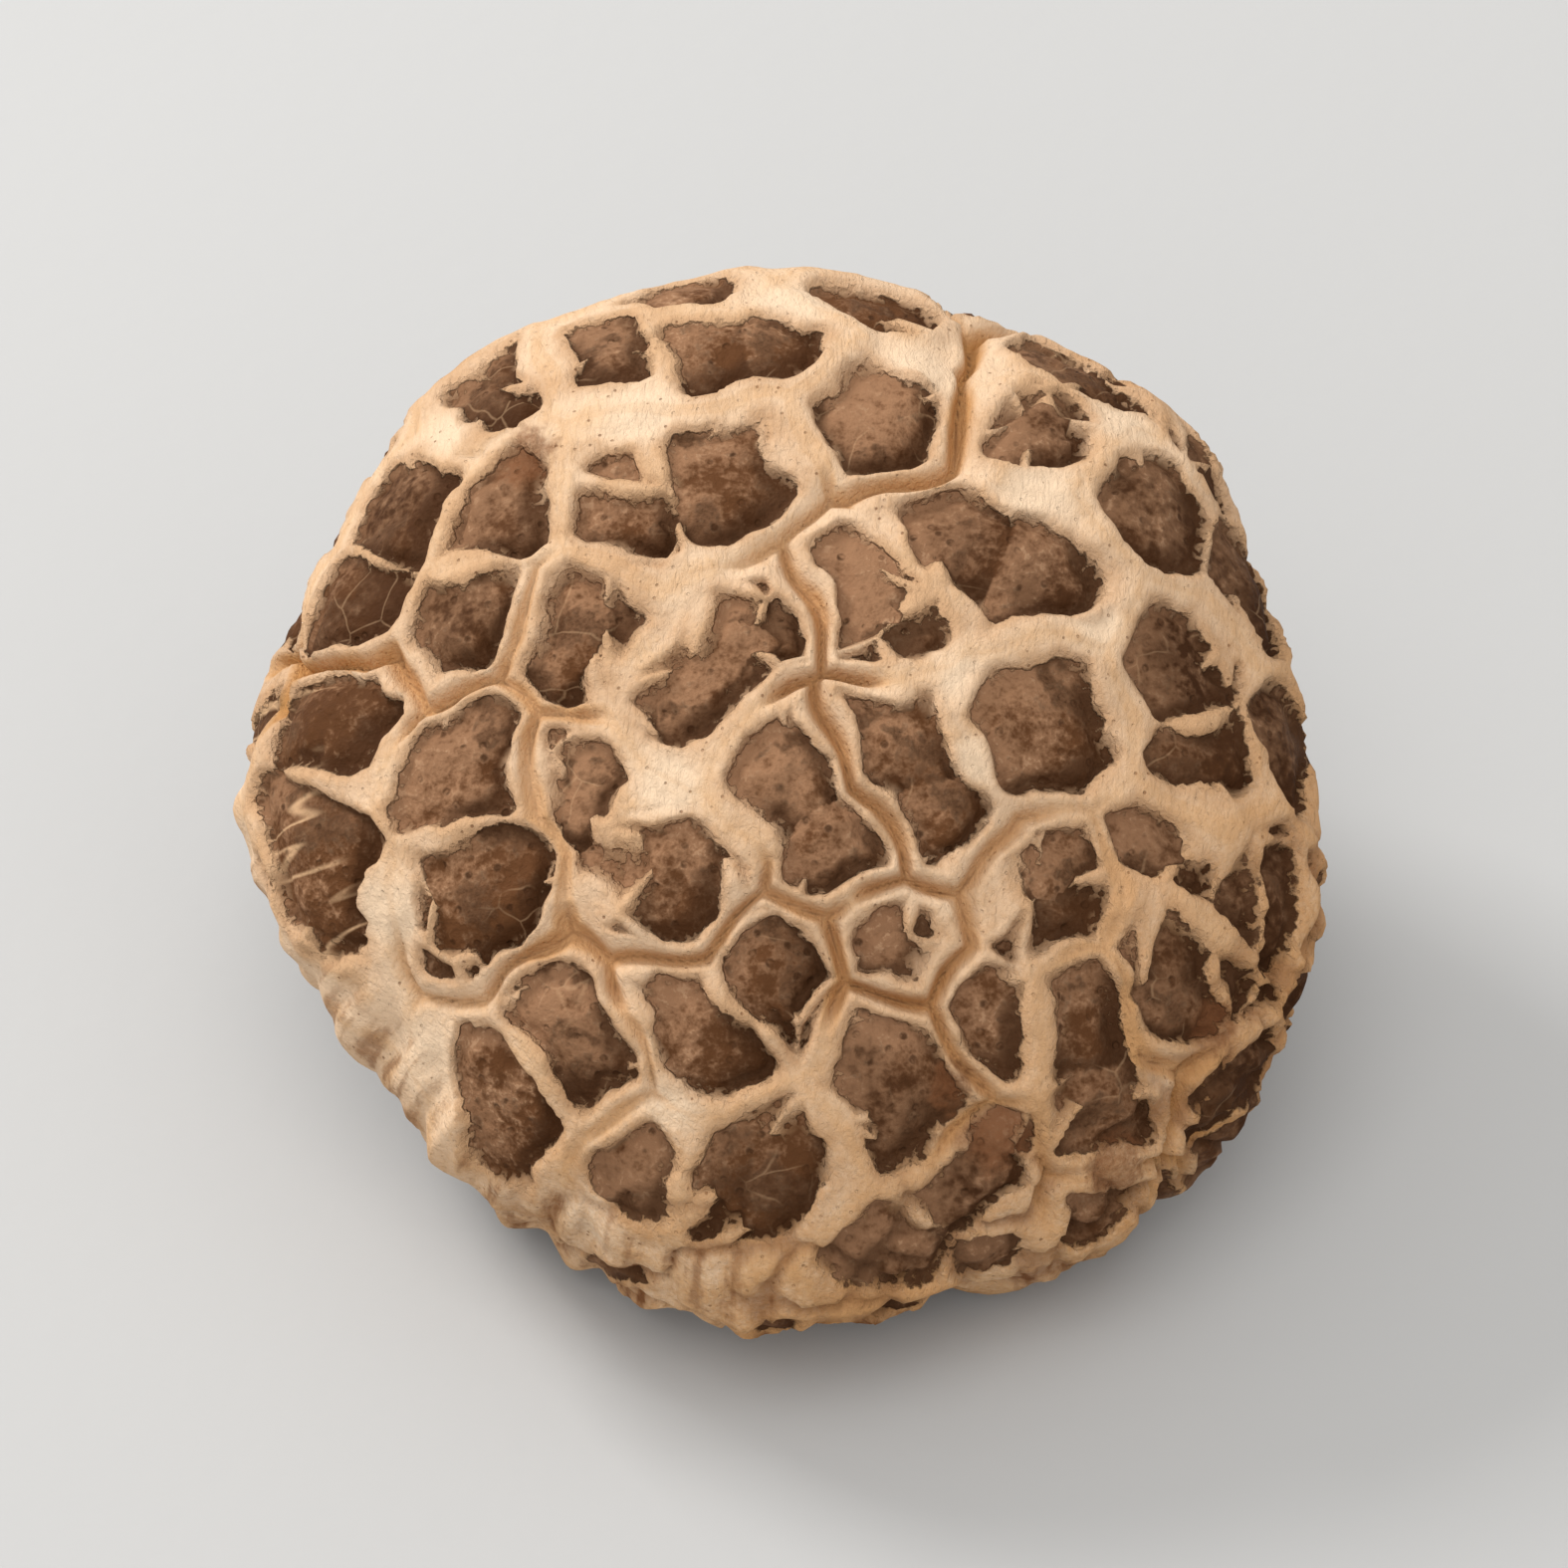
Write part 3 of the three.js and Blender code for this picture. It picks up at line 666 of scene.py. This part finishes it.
def stem_surface(points):
    """Moves a unit tube's points onto the stem. Gives them with the fields that its finish reads."""
    azimuth = np.arctan2(points[:, 1], points[:, 0])
    share = np.hypot(points[:, 0], points[:, 1])
    depth = 1 - points[:, 2]
    flutes = 0.05 * np.cos(2 * azimuth + 0.6) + 0.03 * np.cos(5 * azimuth + 4 * depth)
    swell = STEM_FLARE * (1 - ramp(depth, 0, 0.4)) + STEM_SWELL * ramp(depth, 0.6, 1)
    unrolled = around_axis(1, UNROLLED_LENGTH * depth, azimuth)
    furrows = ramp(np.abs(cloud(unrolled * (1, 1, 0.6), 0.27, 21)), 0, 0.35)
    fibres = 0.14 * cloud(unrolled, 0.14, 11) + 0.1 * cloud(unrolled * (1, 1, 0.4), 0.06, 12)
    torn = cloud(unrolled * (1, 1, 1.5), 0.34, 13) + 0.6 * cloud(unrolled * (1, 1, 0.5), 0.07, 22)
    scales = ramp(torn + 0.35 * ramp(depth, 0.5, 1), 0.32, 0.5)
    rough = ramp(share, 0.9, 1) * ramp(depth, 0, 0.1)
    relief = FURROW_DEPTH * (furrows - 1) + fibres + SCALE_HEIGHT * scales
    fluted = 1 + flutes * ramp(depth, 0, 0.3)
    radius = share * (STEM_RADIUS + swell) * fluted + relief * rough
    x, y = radius * np.cos(azimuth), radius * np.sin(azimuth) + STEM_LEAN * depth ** 2
    cut = (-AXIS_PLACE[2] - y * math.sin(TILT)) / math.cos(TILT)
    top = STEM_TOP + STEM_ROOT
    fields = {"scales": scales * rough, "furrows": furrows, "share": share, "unrolled": unrolled,
              "cut": ramp(depth, 0.995, 1) * (1 - ramp(share, 0.97, 1))}
    return np.stack((x, y, top + (cut - top) * depth), axis=-1), fields


def build_stem(settings):
    """A short fluted stem with torn fibres and scales, cut off along the floor."""
    builder = bmesh.new()
    bmesh.ops.create_circle(builder, cap_ends=False, segments=settings.sides, radius=1)
    rim = builder.edges[:]
    for _ in range(settings.rings):
        made = bmesh.ops.extrude_edge_only(builder, edges=rim)["geom"]
        verts = [item for item in made if isinstance(item, bmesh.types.BMVert)]
        edges = [item for item in made if isinstance(item, bmesh.types.BMEdge)]
        rim = [edge for edge in edges if all(vert in verts for vert in edge.verts)]
        bmesh.ops.translate(builder, verts=verts, vec=(0, 0, 1 / settings.rings))
    for height in (0, 1):
        edges = [edge for edge in builder.edges
                 if edge.is_boundary and math.isclose(edge.verts[0].co.z, height, abs_tol=1e-4)]
        face = bmesh.ops.contextual_create(builder, geom=edges)["faces"][0]
        for _ in range(settings.cut_rings):
            bmesh.ops.inset_individual(builder, faces=[face], thickness=0.9 / settings.cut_rings)
        bmesh.ops.poke(builder, faces=[face])
    bmesh.ops.recalc_face_normals(builder, faces=builder.faces)
    stem = finish_piece("cut_stem", builder, stem_finish(settings), "stem")
    reshape(stem.data, *stem_surface(places_of(stem.data)))


# Finishes

class Field:
    """A socket of a node tree that takes Python's operators, so that an expression adds its Math nodes."""

    def __init__(self, tree, socket=None):
        self.tree = tree
        self.socket = socket

    def node(self, kind, settings, values, output=0):
        """Adds a node: its settings first, then the values or links of its sockets. Gives one output."""
        made = self.tree.nodes.new(kind)
        for name, value in settings.items():
            setattr(made, name, value)
        for key, value in values.items():
            if isinstance(value, Field):
                self.tree.links.new(value.socket, made.inputs[key])
            else:
                made.inputs[key].default_value = value
        return Field(self.tree, made.outputs[output]) if made.outputs else made

    def _math(self, operation, first, second):
        return self.node("ShaderNodeMath", {"operation": operation}, {0: first, 1: second})

    def __add__(self, other):
        return self._math("ADD", self, other)

    def __radd__(self, other):
        return self._math("ADD", other, self)

    def __sub__(self, other):
        return self._math("SUBTRACT", self, other)

    def __rsub__(self, other):
        return self._math("SUBTRACT", other, self)

    def __mul__(self, other):
        return self._math("MULTIPLY", self, other)

    def __rmul__(self, other):
        return self._math("MULTIPLY", other, self)

    def off(self, value):
        """How far this field is from a value."""
        return self.node("ShaderNodeMath", {"operation": "ABSOLUTE"}, {0: self - value})

    def between(self, low, high):
        """A smooth rise from 0 at low to 1 at high."""
        return self.node("ShaderNodeMapRange", {"interpolation_type": "SMOOTHSTEP"},
                         {"Value": self, "From Min": low, "From Max": high})

    def blend(self, first, second):
        """The first colour where this field is 0, and the second where it is 1."""
        values = {0: self, 6: first, 7: second}
        return self.node("ShaderNodeMix", {"data_type": "RGBA"}, values, output=2)


def new_finish(name):
    """An empty material, and its object coordinates in millimetres as a field to build on."""
    material = bpy.data.materials.new(name)
    material.use_nodes = True
    material.node_tree.nodes.clear()
    place = Field(material.node_tree).node("ShaderNodeTexCoord", {}, {}, output="Object")
    return material, stretched(place, (1 / MM,) * 3)


def stretched(place, scale, rotation=(0, 0, 0)):
    return place.node("ShaderNodeMapping", {}, {"Vector": place, "Rotation": rotation, "Scale": scale})


def attribute(place, name, output="Fac"):
    return place.node("ShaderNodeAttribute", {"attribute_name": name}, {}, output=output)


def speckle(place, size, detail=2.0, roughness=0.5, distortion=0.0):
    """Random values round 0.5 with features of about a size, in the units of the place."""
    return place.node("ShaderNodeTexNoise", {}, {"Vector": place, "Scale": 1 / size, "Detail": detail,
                                                 "Roughness": roughness, "Distortion": distortion})


def pits(place, size, feature="F1"):
    """Distance to the nearest of many scattered points, or to their cells' borders, in sizes."""
    return place.node("ShaderNodeTexVoronoi", {"feature": feature}, {"Vector": place, "Scale": 1 / size})


def warped(place, size, reach):
    """The place, shifted at random by up to a reach within features of about a size."""
    shift = place.node("ShaderNodeTexNoise", {}, {"Vector": place, "Scale": 1 / size}, output="Color")
    shift = place.node("ShaderNodeVectorMath", {"operation": "SCALE"}, {0: shift, "Scale": reach})
    return place.node("ShaderNodeVectorMath", {"operation": "ADD"}, {0: place, 1: shift})


def put_on(colour, roughness, relief, depth, specular=0.2):
    """Ends a finish: a Principled surface whose bumps are relief times depth, in millimetres."""
    normal = relief.node("ShaderNodeBump", {}, {"Strength": 1.0, "Distance": depth * MM, "Height": relief})
    surface = normal.node("ShaderNodeBsdfPrincipled", {}, {
        "Base Color": colour, "Roughness": roughness, "Normal": normal, "Specular IOR Level": specular})
    surface.node("ShaderNodeOutputMaterial", {}, {"Surface": surface})


def coated(colour, coats):
    """A colour under coats that are laid on in turn, each a share of its own colour."""
    for share, coat in coats:
        colour = share.blend(colour, coat)
    return colour


def cap_textures(place):
    """The cap's fields and the textures that its finish is mixed from, by name."""
    cap = SimpleNamespace(**{name: attribute(place, name) for name in CAP_FIELDS})
    for name, (size, detail, roughness) in CAP_SPECKLES.items():
        setattr(cap, name, speckle(place, size, detail, roughness))
    cap.spokes = attribute(place, "spokes", "Vector")
    cap.streaks = speckle(cap.spokes, 0.035, detail=3)
    cap.dots = 1 - pits(place, 0.9).between(0.1, 0.24)
    cap.specks = 1 - pits(place, 0.55).between(0.07, 0.16)
    cap.felt = speckle(stretched(place, (1, 0.35, 1)), 0.28, detail=4, roughness=0.6, distortion=0.6)
    layers = {"X": cap.crease + 0.5 * cap.coarse, "Y": 0.3 * cap.wide}
    cap.bands = speckle(place.node("ShaderNodeCombineXYZ", {}, layers), 0.16)
    cap.frayed = cap.inside + 0.4 * (cap.fine - 0.5) + 0.25 * (cap.coarse - 0.5)
    return cap


def plate_colour(place, cap, settings):
    """Mottled leather with flecks, pits, blots, hairline cracks and scratches, darker towards its edges
    partly as painted shade.
    """
    # The plates are also painted darker on their front-right side, away from the key light: painted shade.
    mottles_and_shade = (1.2 * cap.coarse + 0.7 * cap.fine + 0.4 * cap.grain + 0.32 * cap.tone + 0.2 * cap.wide
               - 0.1 * cap.side - 0.14 * cap.station.between(0.1, 0.45)
               + 0.8 * cap.station.between(0.7, 0.95) * (cap.streaks - 0.5))
    worn = (cap.fine + 0.6 * cap.grain).between(0.85, 1) * cap.coarse.between(0.42, 0.62)
    # Dark bands along the plates' edges: partly darker skin, partly painted shade, reaching farther in on the
    # front-right side. The blots lean a little towards that side too.
    edge = 0.3 + 0.8 * cap.side.between(-0.2, 1.2)
    shaded = 1 - (cap.frayed - edge).between(-0.4, 0.5)
    shaded = shaded * (cap.wide + cap.coarse + 0.35 * cap.side).between(0.8, 1.1)
    blots = 0.8 * cap.coarse + 0.7 * cap.wide + 0.3 * cap.fine + 0.05 * cap.side - 0.1 * cap.tone
    hairlines = pits(warped(place, 2.6, 1.2), 2.3, "DISTANCE_TO_EDGE")
    hairlines = (1 - hairlines.between(0, 0.03)) * cap.wide.between(0.56, 0.64)
    scratches = speckle(cap.spokes, 0.075, detail=1).off(0.5)
    scratches = (1 - scratches.between(0, 0.036)) * cap.scratched
    return coated(mottles_and_shade.between(1.04, 1.44).blend(settings.skin_dark, settings.skin_mid), (
        (worn * 0.55, settings.skin_pale),
        (cap.dots * cap.fine.between(0.4, 0.6) * 0.8, settings.skin_black),
        (shaded * 0.75, settings.skin_black),
        (cap.station.between(0.65, 1) * 0.4, settings.skin_dark),
        # Darker skin on the right and front-right margins: partly the skin's own colour, partly painted
        # shade.
        ((cap.dark + 0.55 * cap.weathered) * (1.5 - cap.coarse - cap.fine), settings.skin_black),
        (cap.puckers * (0.3 + 0.6 * cap.coarse), settings.skin_black),
        (blots.between(0.88, 1) * (0.3 + 0.8 * cap.grain), settings.skin_black),
        (hairlines * 0.2 + scratches * (0.05 + 1.2 * cap.coarse), settings.flesh_tan)))


def rim_colour(cap, settings):
    """Brown streaks across the rolled rim, with darker pits."""
    streaked = (0.7 * cap.streaks + 0.35 * cap.fine + 0.2 * cap.coarse).between(0.48, 0.76)
    return (cap.dots * 0.5).blend(streaked.blend(settings.rim_dark, settings.rim_mid), settings.rim_dark)


def flesh_colour(cap, settings):
    """Felted flesh, whiter where the net is broad, with painted shade by the plates and amber down in the
    folds.
    """
    # The flesh also turns tan as painted shade where it slopes down to a plate's edge, and partly so on the
    # front-right margin.
    mottles_and_shade = (0.45 * cap.bands + 0.65 * cap.coarse + 0.6 * cap.suede + 0.9 * (cap.felt - 0.5)
               + 1.4 * cap.bare * (cap.streaks - 0.5) + 0.4 * cap.weathered
               + 0.4 * (1 - cap.crease.between(0.1, 0.8)) + 0.5 * cap.crease.between(1.3, 2.4)
               + 0.35 * (cap.inside + 0.6 * cap.coarse).between(-0.3, 0.35))
    bleached = (cap.broad + 0.5 * cap.coarse).between(0.45, 1.1)
    # Painted shade on the flesh next to the plates' edges
    painted_shade_by_plates = (cap.inside + 1.2 * (cap.coarse - 0.5) + 0.8 * (cap.wide - 0.5)).between(-1.1, 0.1)
    # Painted shade: brown streaks between the wrinkles of the bare margin
    painted_wrinkle_shade = (cap.streaks + 0.3 * cap.fine).between(0.62, 0.84) * cap.bare
    fold_sides = 1 - (cap.crease - 0.3 * cap.wide.between(0.48, 0.7)).between(0.05, 0.2 + 0.25 * cap.fold)
    fold_bottoms = 1 - cap.crease.between(0, 0.12)
    return coated(mottles_and_shade.between(0.7, 1.65).blend(settings.flesh_cream, settings.flesh_tan), (
        (bleached * (1.2 - 0.8 * cap.suede), settings.flesh_white),
        (painted_shade_by_plates * (0.35 + 0.7 * cap.suede), settings.flesh_shade),
        (cap.specks * cap.coarse.between(0.45, 0.6) * 0.7, settings.crease_brown),
        (cap.station.between(0.98, 1.2) * 0.7, settings.flesh_tan),
        # Amber on the front-right margin, partly painted shade
        (cap.weathered * (cap.suede + cap.wide).between(0.7, 1.2) * 0.75, settings.crease_amber),
        (painted_wrinkle_shade * 0.6 + cap.puckers * (0.3 + 0.6 * cap.coarse), settings.crease_brown),
        (fold_sides * (0.15 + 0.65 * cap.fold), settings.crease_amber),
        (fold_bottoms * (cap.fold * 0.7 - 0.1), settings.crease_brown)))


def cap_finish(settings):
    """Leathery plates with ragged edges on pale fibrous flesh, and a wrinkled brown rim."""
    material, place = new_finish("cracked skin")
    cap = cap_textures(place)
    crispness = 2.5 + 20 * (cap.fine + 0.8 * cap.coarse).between(0.78, 1.02)
    plate = (cap.frayed * crispness).between(-1, 1)
    rim = (cap.station + 0.15 * (cap.coarse - 0.5) + 0.1 * (cap.streaks - 0.5)).between(1.1, 1.3)
    skin = rim.blend(plate_colour(place, cap, settings), rim_colour(cap, settings))
    stains = (cap.stained + 1.2 * (cap.coarse - 0.5) + 0.8 * (cap.fine - 0.5)).between(0.3, 0.8)
    colour = plate.blend(flesh_colour(cap, settings), skin)
    colour = (stains * (0.1 + cap.suede)).blend(colour, settings.stain)

    leather = 0.6 * cap.fine + 0.45 * cap.coarse + 0.25 * cap.grain - 0.35 * cap.dots - 1.1
    felted = cap.felt + 0.45 * cap.suede + 0.2 * cap.bands - 0.3 * cap.specks
    relief = plate * leather + (1 - plate) * felted + rim * (0.9 * cap.streaks + 0.3 * cap.fine)
    put_on(colour, 0.62 + 0.25 * cap.fine, relief, CAP_BUMP, specular=0.05)
    return material


def gill_finish(settings):
    """Dry amber blades, pale along their edges."""
    material, place = new_finish("dry gills")
    down = attribute(place, "down")
    uneven = speckle(place, 1.2, detail=3) - 0.5
    colour = coated(settings.root_colour, (
        ((down + 0.6 * uneven).between(0.1, 1), settings.blade_colour),
        ((down + 0.3 * uneven).between(0.8, 1.05), settings.edge_colour)))
    put_on(colour, 0.6, speckle(place, 0.3), GILL_BUMP)
    return material


def stem_finish(settings):
    """Wrinkled tan fibres with ragged brown scales, and a pale stippled cut face."""
    material, place = new_finish("stem fibres")
    furrows, scales, share, cut = (attribute(place, name) for name in ("furrows", "scales", "share", "cut"))
    fibre_place = stretched(attribute(place, "unrolled", "Vector"), (1, 1, 0.2))
    fibres = speckle(fibre_place, 0.05, detail=5, roughness=0.65)
    threads = speckle(fibre_place, 0.014)
    blotches = speckle(place, 2.2, detail=3)
    grain = speckle(place, 0.25, detail=3)

    side = 0.5 * fibres + 0.25 * threads + 0.35 * blotches + 0.25 * furrows
    side = side.between(0.55, 0.95).blend(settings.side_dark, settings.side_light)
    ragged = (scales + 1.2 * (fibres - 0.5) + 0.6 * (threads - 0.5)).between(0.3, 0.75)
    side = (ragged * (0.55 + 0.6 * grain)).blend(side, settings.scale_colour)

    holes = (1 - pits(place, 0.3).between(0.05, 0.4)) * blotches.between(0.4, 0.6)
    marks = speckle(stretched(place, (1, 0.06, 1), rotation=(0, 0, 0.5)), 0.3)
    face = (0.6 * grain + 0.4 * blotches + 0.3 * marks).between(0.45, 0.85)
    face = face.blend(settings.face_dark, settings.face_light)
    face = (holes * 0.2 + share.between(0.82, 1.0) * 0.7).blend(face, settings.side_light)
    colour = cut.blend(side, face)
    relief = (1 - cut) * (fibres + 0.5 * threads) + cut * (0.5 * grain + 0.6 * marks - 0.2 * holes)
    put_on(colour, 0.8, relief, STEM_BUMP, specular=0.1)
    return material


# Stage

def floor_finish(settings):
    """A pale matt floor, faintly uneven."""
    material, place = new_finish("pale floor")
    darker = [channel * 0.985 for channel in settings.floor_colour]
    colour = speckle(place, 40).blend(settings.floor_colour, darker)
    put_on(colour, 0.9, speckle(place, 1.5), FLOOR_BUMP, specular=0.1)
    return material


def build_floor(settings):
    builder = bmesh.new()
    bmesh.ops.create_grid(builder, x_segments=1, y_segments=1, size=FLOOR_HALF_WIDTH)
    floor = add_mesh("floor", builder, floor_finish(settings))


def build_lights():
    """Square soft lights that face the mushroom, under an even sky."""
    for name, (direction, distance, size, watts) in LIGHTS.items():
        data = bpy.data.lights.new(name, "AREA")
        data.size = size
        data.energy = watts
        light = add_object(name, data)
        towards = Vector(direction).normalized()
        light.location = towards * distance
        light.rotation_euler = (-towards).to_track_quat("-Z", "Y").to_euler()
    world = bpy.data.worlds.new("studio")
    world.use_nodes = True
    sky = world.node_tree.nodes["Background"].inputs
    sky["Color"].default_value = (1, 1, 1, 1)
    sky["Strength"].default_value = WORLD_STRENGTH
    bpy.context.scene.world = world
    bpy.context.scene.view_settings.view_transform = "Standard"


def build_camera(settings):
    """The photograph's viewing angle, with the mushroom filling a set share of the frame's width."""
    low, high = CAD_BOX
    data = bpy.data.cameras.new("camera")
    data.sensor_width = SENSOR_WIDTH
    data.lens = settings.lens
    data.clip_start, data.clip_end = CLIP_DISTANCES
    camera = add_object("camera", data)
    back = Vector((0, -math.cos(settings.elevation), math.sin(settings.elevation)))
    frame_width = (high - low).x / settings.fill
    distance = frame_width * data.lens / data.sensor_width
    camera.location = (low + high) / 2 + back * distance
    camera.rotation_euler = (-back).to_track_quat("-Z", "Y").to_euler()
    bpy.context.scene.camera = camera


# Settings

def whole(name, description, default):
    return bpy.props.IntProperty(name=name, description=description, default=default)


def tint(name, description, default):
    return bpy.props.FloatVectorProperty(name=name, description=description, subtype="COLOR", size=4,
                                         min=0, max=1, default=(*default, 1))


class CapSettings(bpy.types.PropertyGroup):
    fineness: whole("Fineness", "Subdivisions of the ball that the cap is laid from", 6)
    skin_dark: tint("Dark skin", "Darker mottles of the plates", (0.1, 0.04, 0.015))
    skin_mid: tint("Skin", "Lighter mottles of the plates", (0.265, 0.137, 0.071))
    skin_pale: tint("Pale flecks", "Flecks of worn skin", (0.45, 0.27, 0.155))
    # Also laid on as painted shade along the plates' front-right edges and on the right-hand margins.
    skin_black: tint("Dark pits", "Pits and curled edges of the plates", (0.045, 0.017, 0.006))
    flesh_white: tint("Bleached flesh", "Where the net is broad", (0.745, 0.555, 0.38))
    flesh_cream: tint("Flesh", "Raised flesh of the net", (0.715, 0.505, 0.33))
    # This tan is also that of the painted shade where the flesh slopes down to the plates.
    flesh_tan: tint("Stained flesh", "Flesh near creases", (0.64, 0.405, 0.225))
    # Painted shade on the flesh next to the plates
    flesh_shade: tint("Shaded flesh", "Flesh next to the plates", (0.48, 0.28, 0.15))
    stain: tint("Stain", "Red-brown stains", (0.17, 0.065, 0.026))
    crease_amber: tint("Crease", "Sides of the creases", (0.5, 0.25, 0.09))
    crease_brown: tint("Crease bottom", "Darkest part of the creases", (0.2, 0.08, 0.03))
    rim_mid: tint("Rim", "Lighter streaks of the rolled rim", (0.27, 0.15, 0.085))
    rim_dark: tint("Dark rim", "Darker streaks of the rolled rim", (0.06, 0.028, 0.016))


class GillSettings(bpy.types.PropertyGroup):
    count: whole("Blades", "Blades round the stem", 160)
    steps: whole("Steps", "Steps along one blade", 10)
    thickness: bpy.props.FloatProperty(
        name="Thickness", description="Thickness of a blade at its root", default=0.0003, unit="LENGTH")
    root_colour: tint("Roots", "Between the blades", (0.2, 0.09, 0.035))
    blade_colour: tint("Blades", "Sides of the blades", (0.48, 0.28, 0.12))
    edge_colour: tint("Edges", "Free edges of the blades", (0.7, 0.48, 0.26))


class StemSettings(bpy.types.PropertyGroup):
    sides: whole("Sides", "Steps round the stem", 220)
    rings: whole("Rings", "Steps along the stem", 90)
    cut_rings: whole("Cut rings", "Steps across the cut face", 12)
    side_light: tint("Side", "Lighter fibres", (0.58, 0.385, 0.21))
    side_dark: tint("Dark side", "Darker fibres", (0.27, 0.145, 0.07))
    scale_colour: tint("Scales", "Brown scales of the stem", (0.13, 0.06, 0.03))
    face_light: tint("Cut face", "Pale cut flesh", (0.8, 0.63, 0.4))
    face_dark: tint("Cut shade", "Darker cut flesh", (0.62, 0.43, 0.24))


class StageSettings(bpy.types.PropertyGroup):
    elevation: bpy.props.FloatProperty(
        name="Elevation", description="Camera's height above the horizon", default=math.radians(50),
        subtype="ANGLE")
    lens: bpy.props.FloatProperty(name="Lens", description="Focal length", default=110, unit="CAMERA")
    fill: bpy.props.FloatProperty(
        name="Fill", description="Share of the frame's width that the mushroom takes", default=0.68,
        subtype="FACTOR")
    floor_colour: tint("Floor", "Pale floor", (0.46, 0.455, 0.445))


# Operators and panel

class CapOperator(bpy.types.Operator):
    """Add the cracked cap with its rolled rim"""
    bl_idname = "shiitake.cap"
    bl_label = "Cap"

    def execute(self, context):
        build_cap(context.scene.shiitake_cap)
        return {"FINISHED"}


class GillOperator(bpy.types.Operator):
    """Add the gills in the hollow"""
    bl_idname = "shiitake.gills"
    bl_label = "Gills"

    def execute(self, context):
        build_gills(context.scene.shiitake_gills)
        return {"FINISHED"}


class StemOperator(bpy.types.Operator):
    """Add the cut stem"""
    bl_idname = "shiitake.stem"
    bl_label = "Stem"

    def execute(self, context):
        build_stem(context.scene.shiitake_stem)
        return {"FINISHED"}


class StageOperator(bpy.types.Operator):
    """Add the floor, the lights and the camera"""
    bl_idname = "shiitake.stage"
    bl_label = "Stage"

    def execute(self, context):
        settings = context.scene.shiitake_stage
        build_camera(settings)
        build_floor(settings)
        build_lights()
        return {"FINISHED"}


class ShiitakePanel(bpy.types.Panel):
    bl_idname = "VIEW3D_PT_shiitake"
    bl_label = "Dried Shiitake"
    bl_space_type = "VIEW_3D"
    bl_region_type = "UI"
    bl_category = "Shiitake"

    def draw(self, context):
        for operator, group in zip(OPERATORS, SETTINGS):
            box = self.layout.box()
            settings = getattr(context.scene, group)
            for name in settings.bl_rna.properties.keys():
                if name not in ("rna_type", "name"):
                    box.prop(settings, name)
            box.operator(operator.bl_idname)


SETTINGS = {
    "shiitake_stage": StageSettings,
    "shiitake_cap": CapSettings,
    "shiitake_gills": GillSettings,
    "shiitake_stem": StemSettings,
}
OPERATORS = (StageOperator, CapOperator, GillOperator, StemOperator)
CLASSES = (*SETTINGS.values(), *OPERATORS, ShiitakePanel)


def register():
    for cls in CLASSES:
        bpy.utils.register_class(cls)
    for name, group in SETTINGS.items():
        setattr(bpy.types.Scene, name, bpy.props.PointerProperty(type=group))


def unregister():
    for name in SETTINGS:
        delattr(bpy.types.Scene, name)
    for cls in reversed(CLASSES):
        bpy.utils.unregister_class(cls)


def main():
    register()
    bpy.ops.shiitake.stage()
    bpy.ops.shiitake.cap()
    bpy.ops.shiitake.gills()
    bpy.ops.shiitake.stem()


if __name__ == "__main__":
    main()
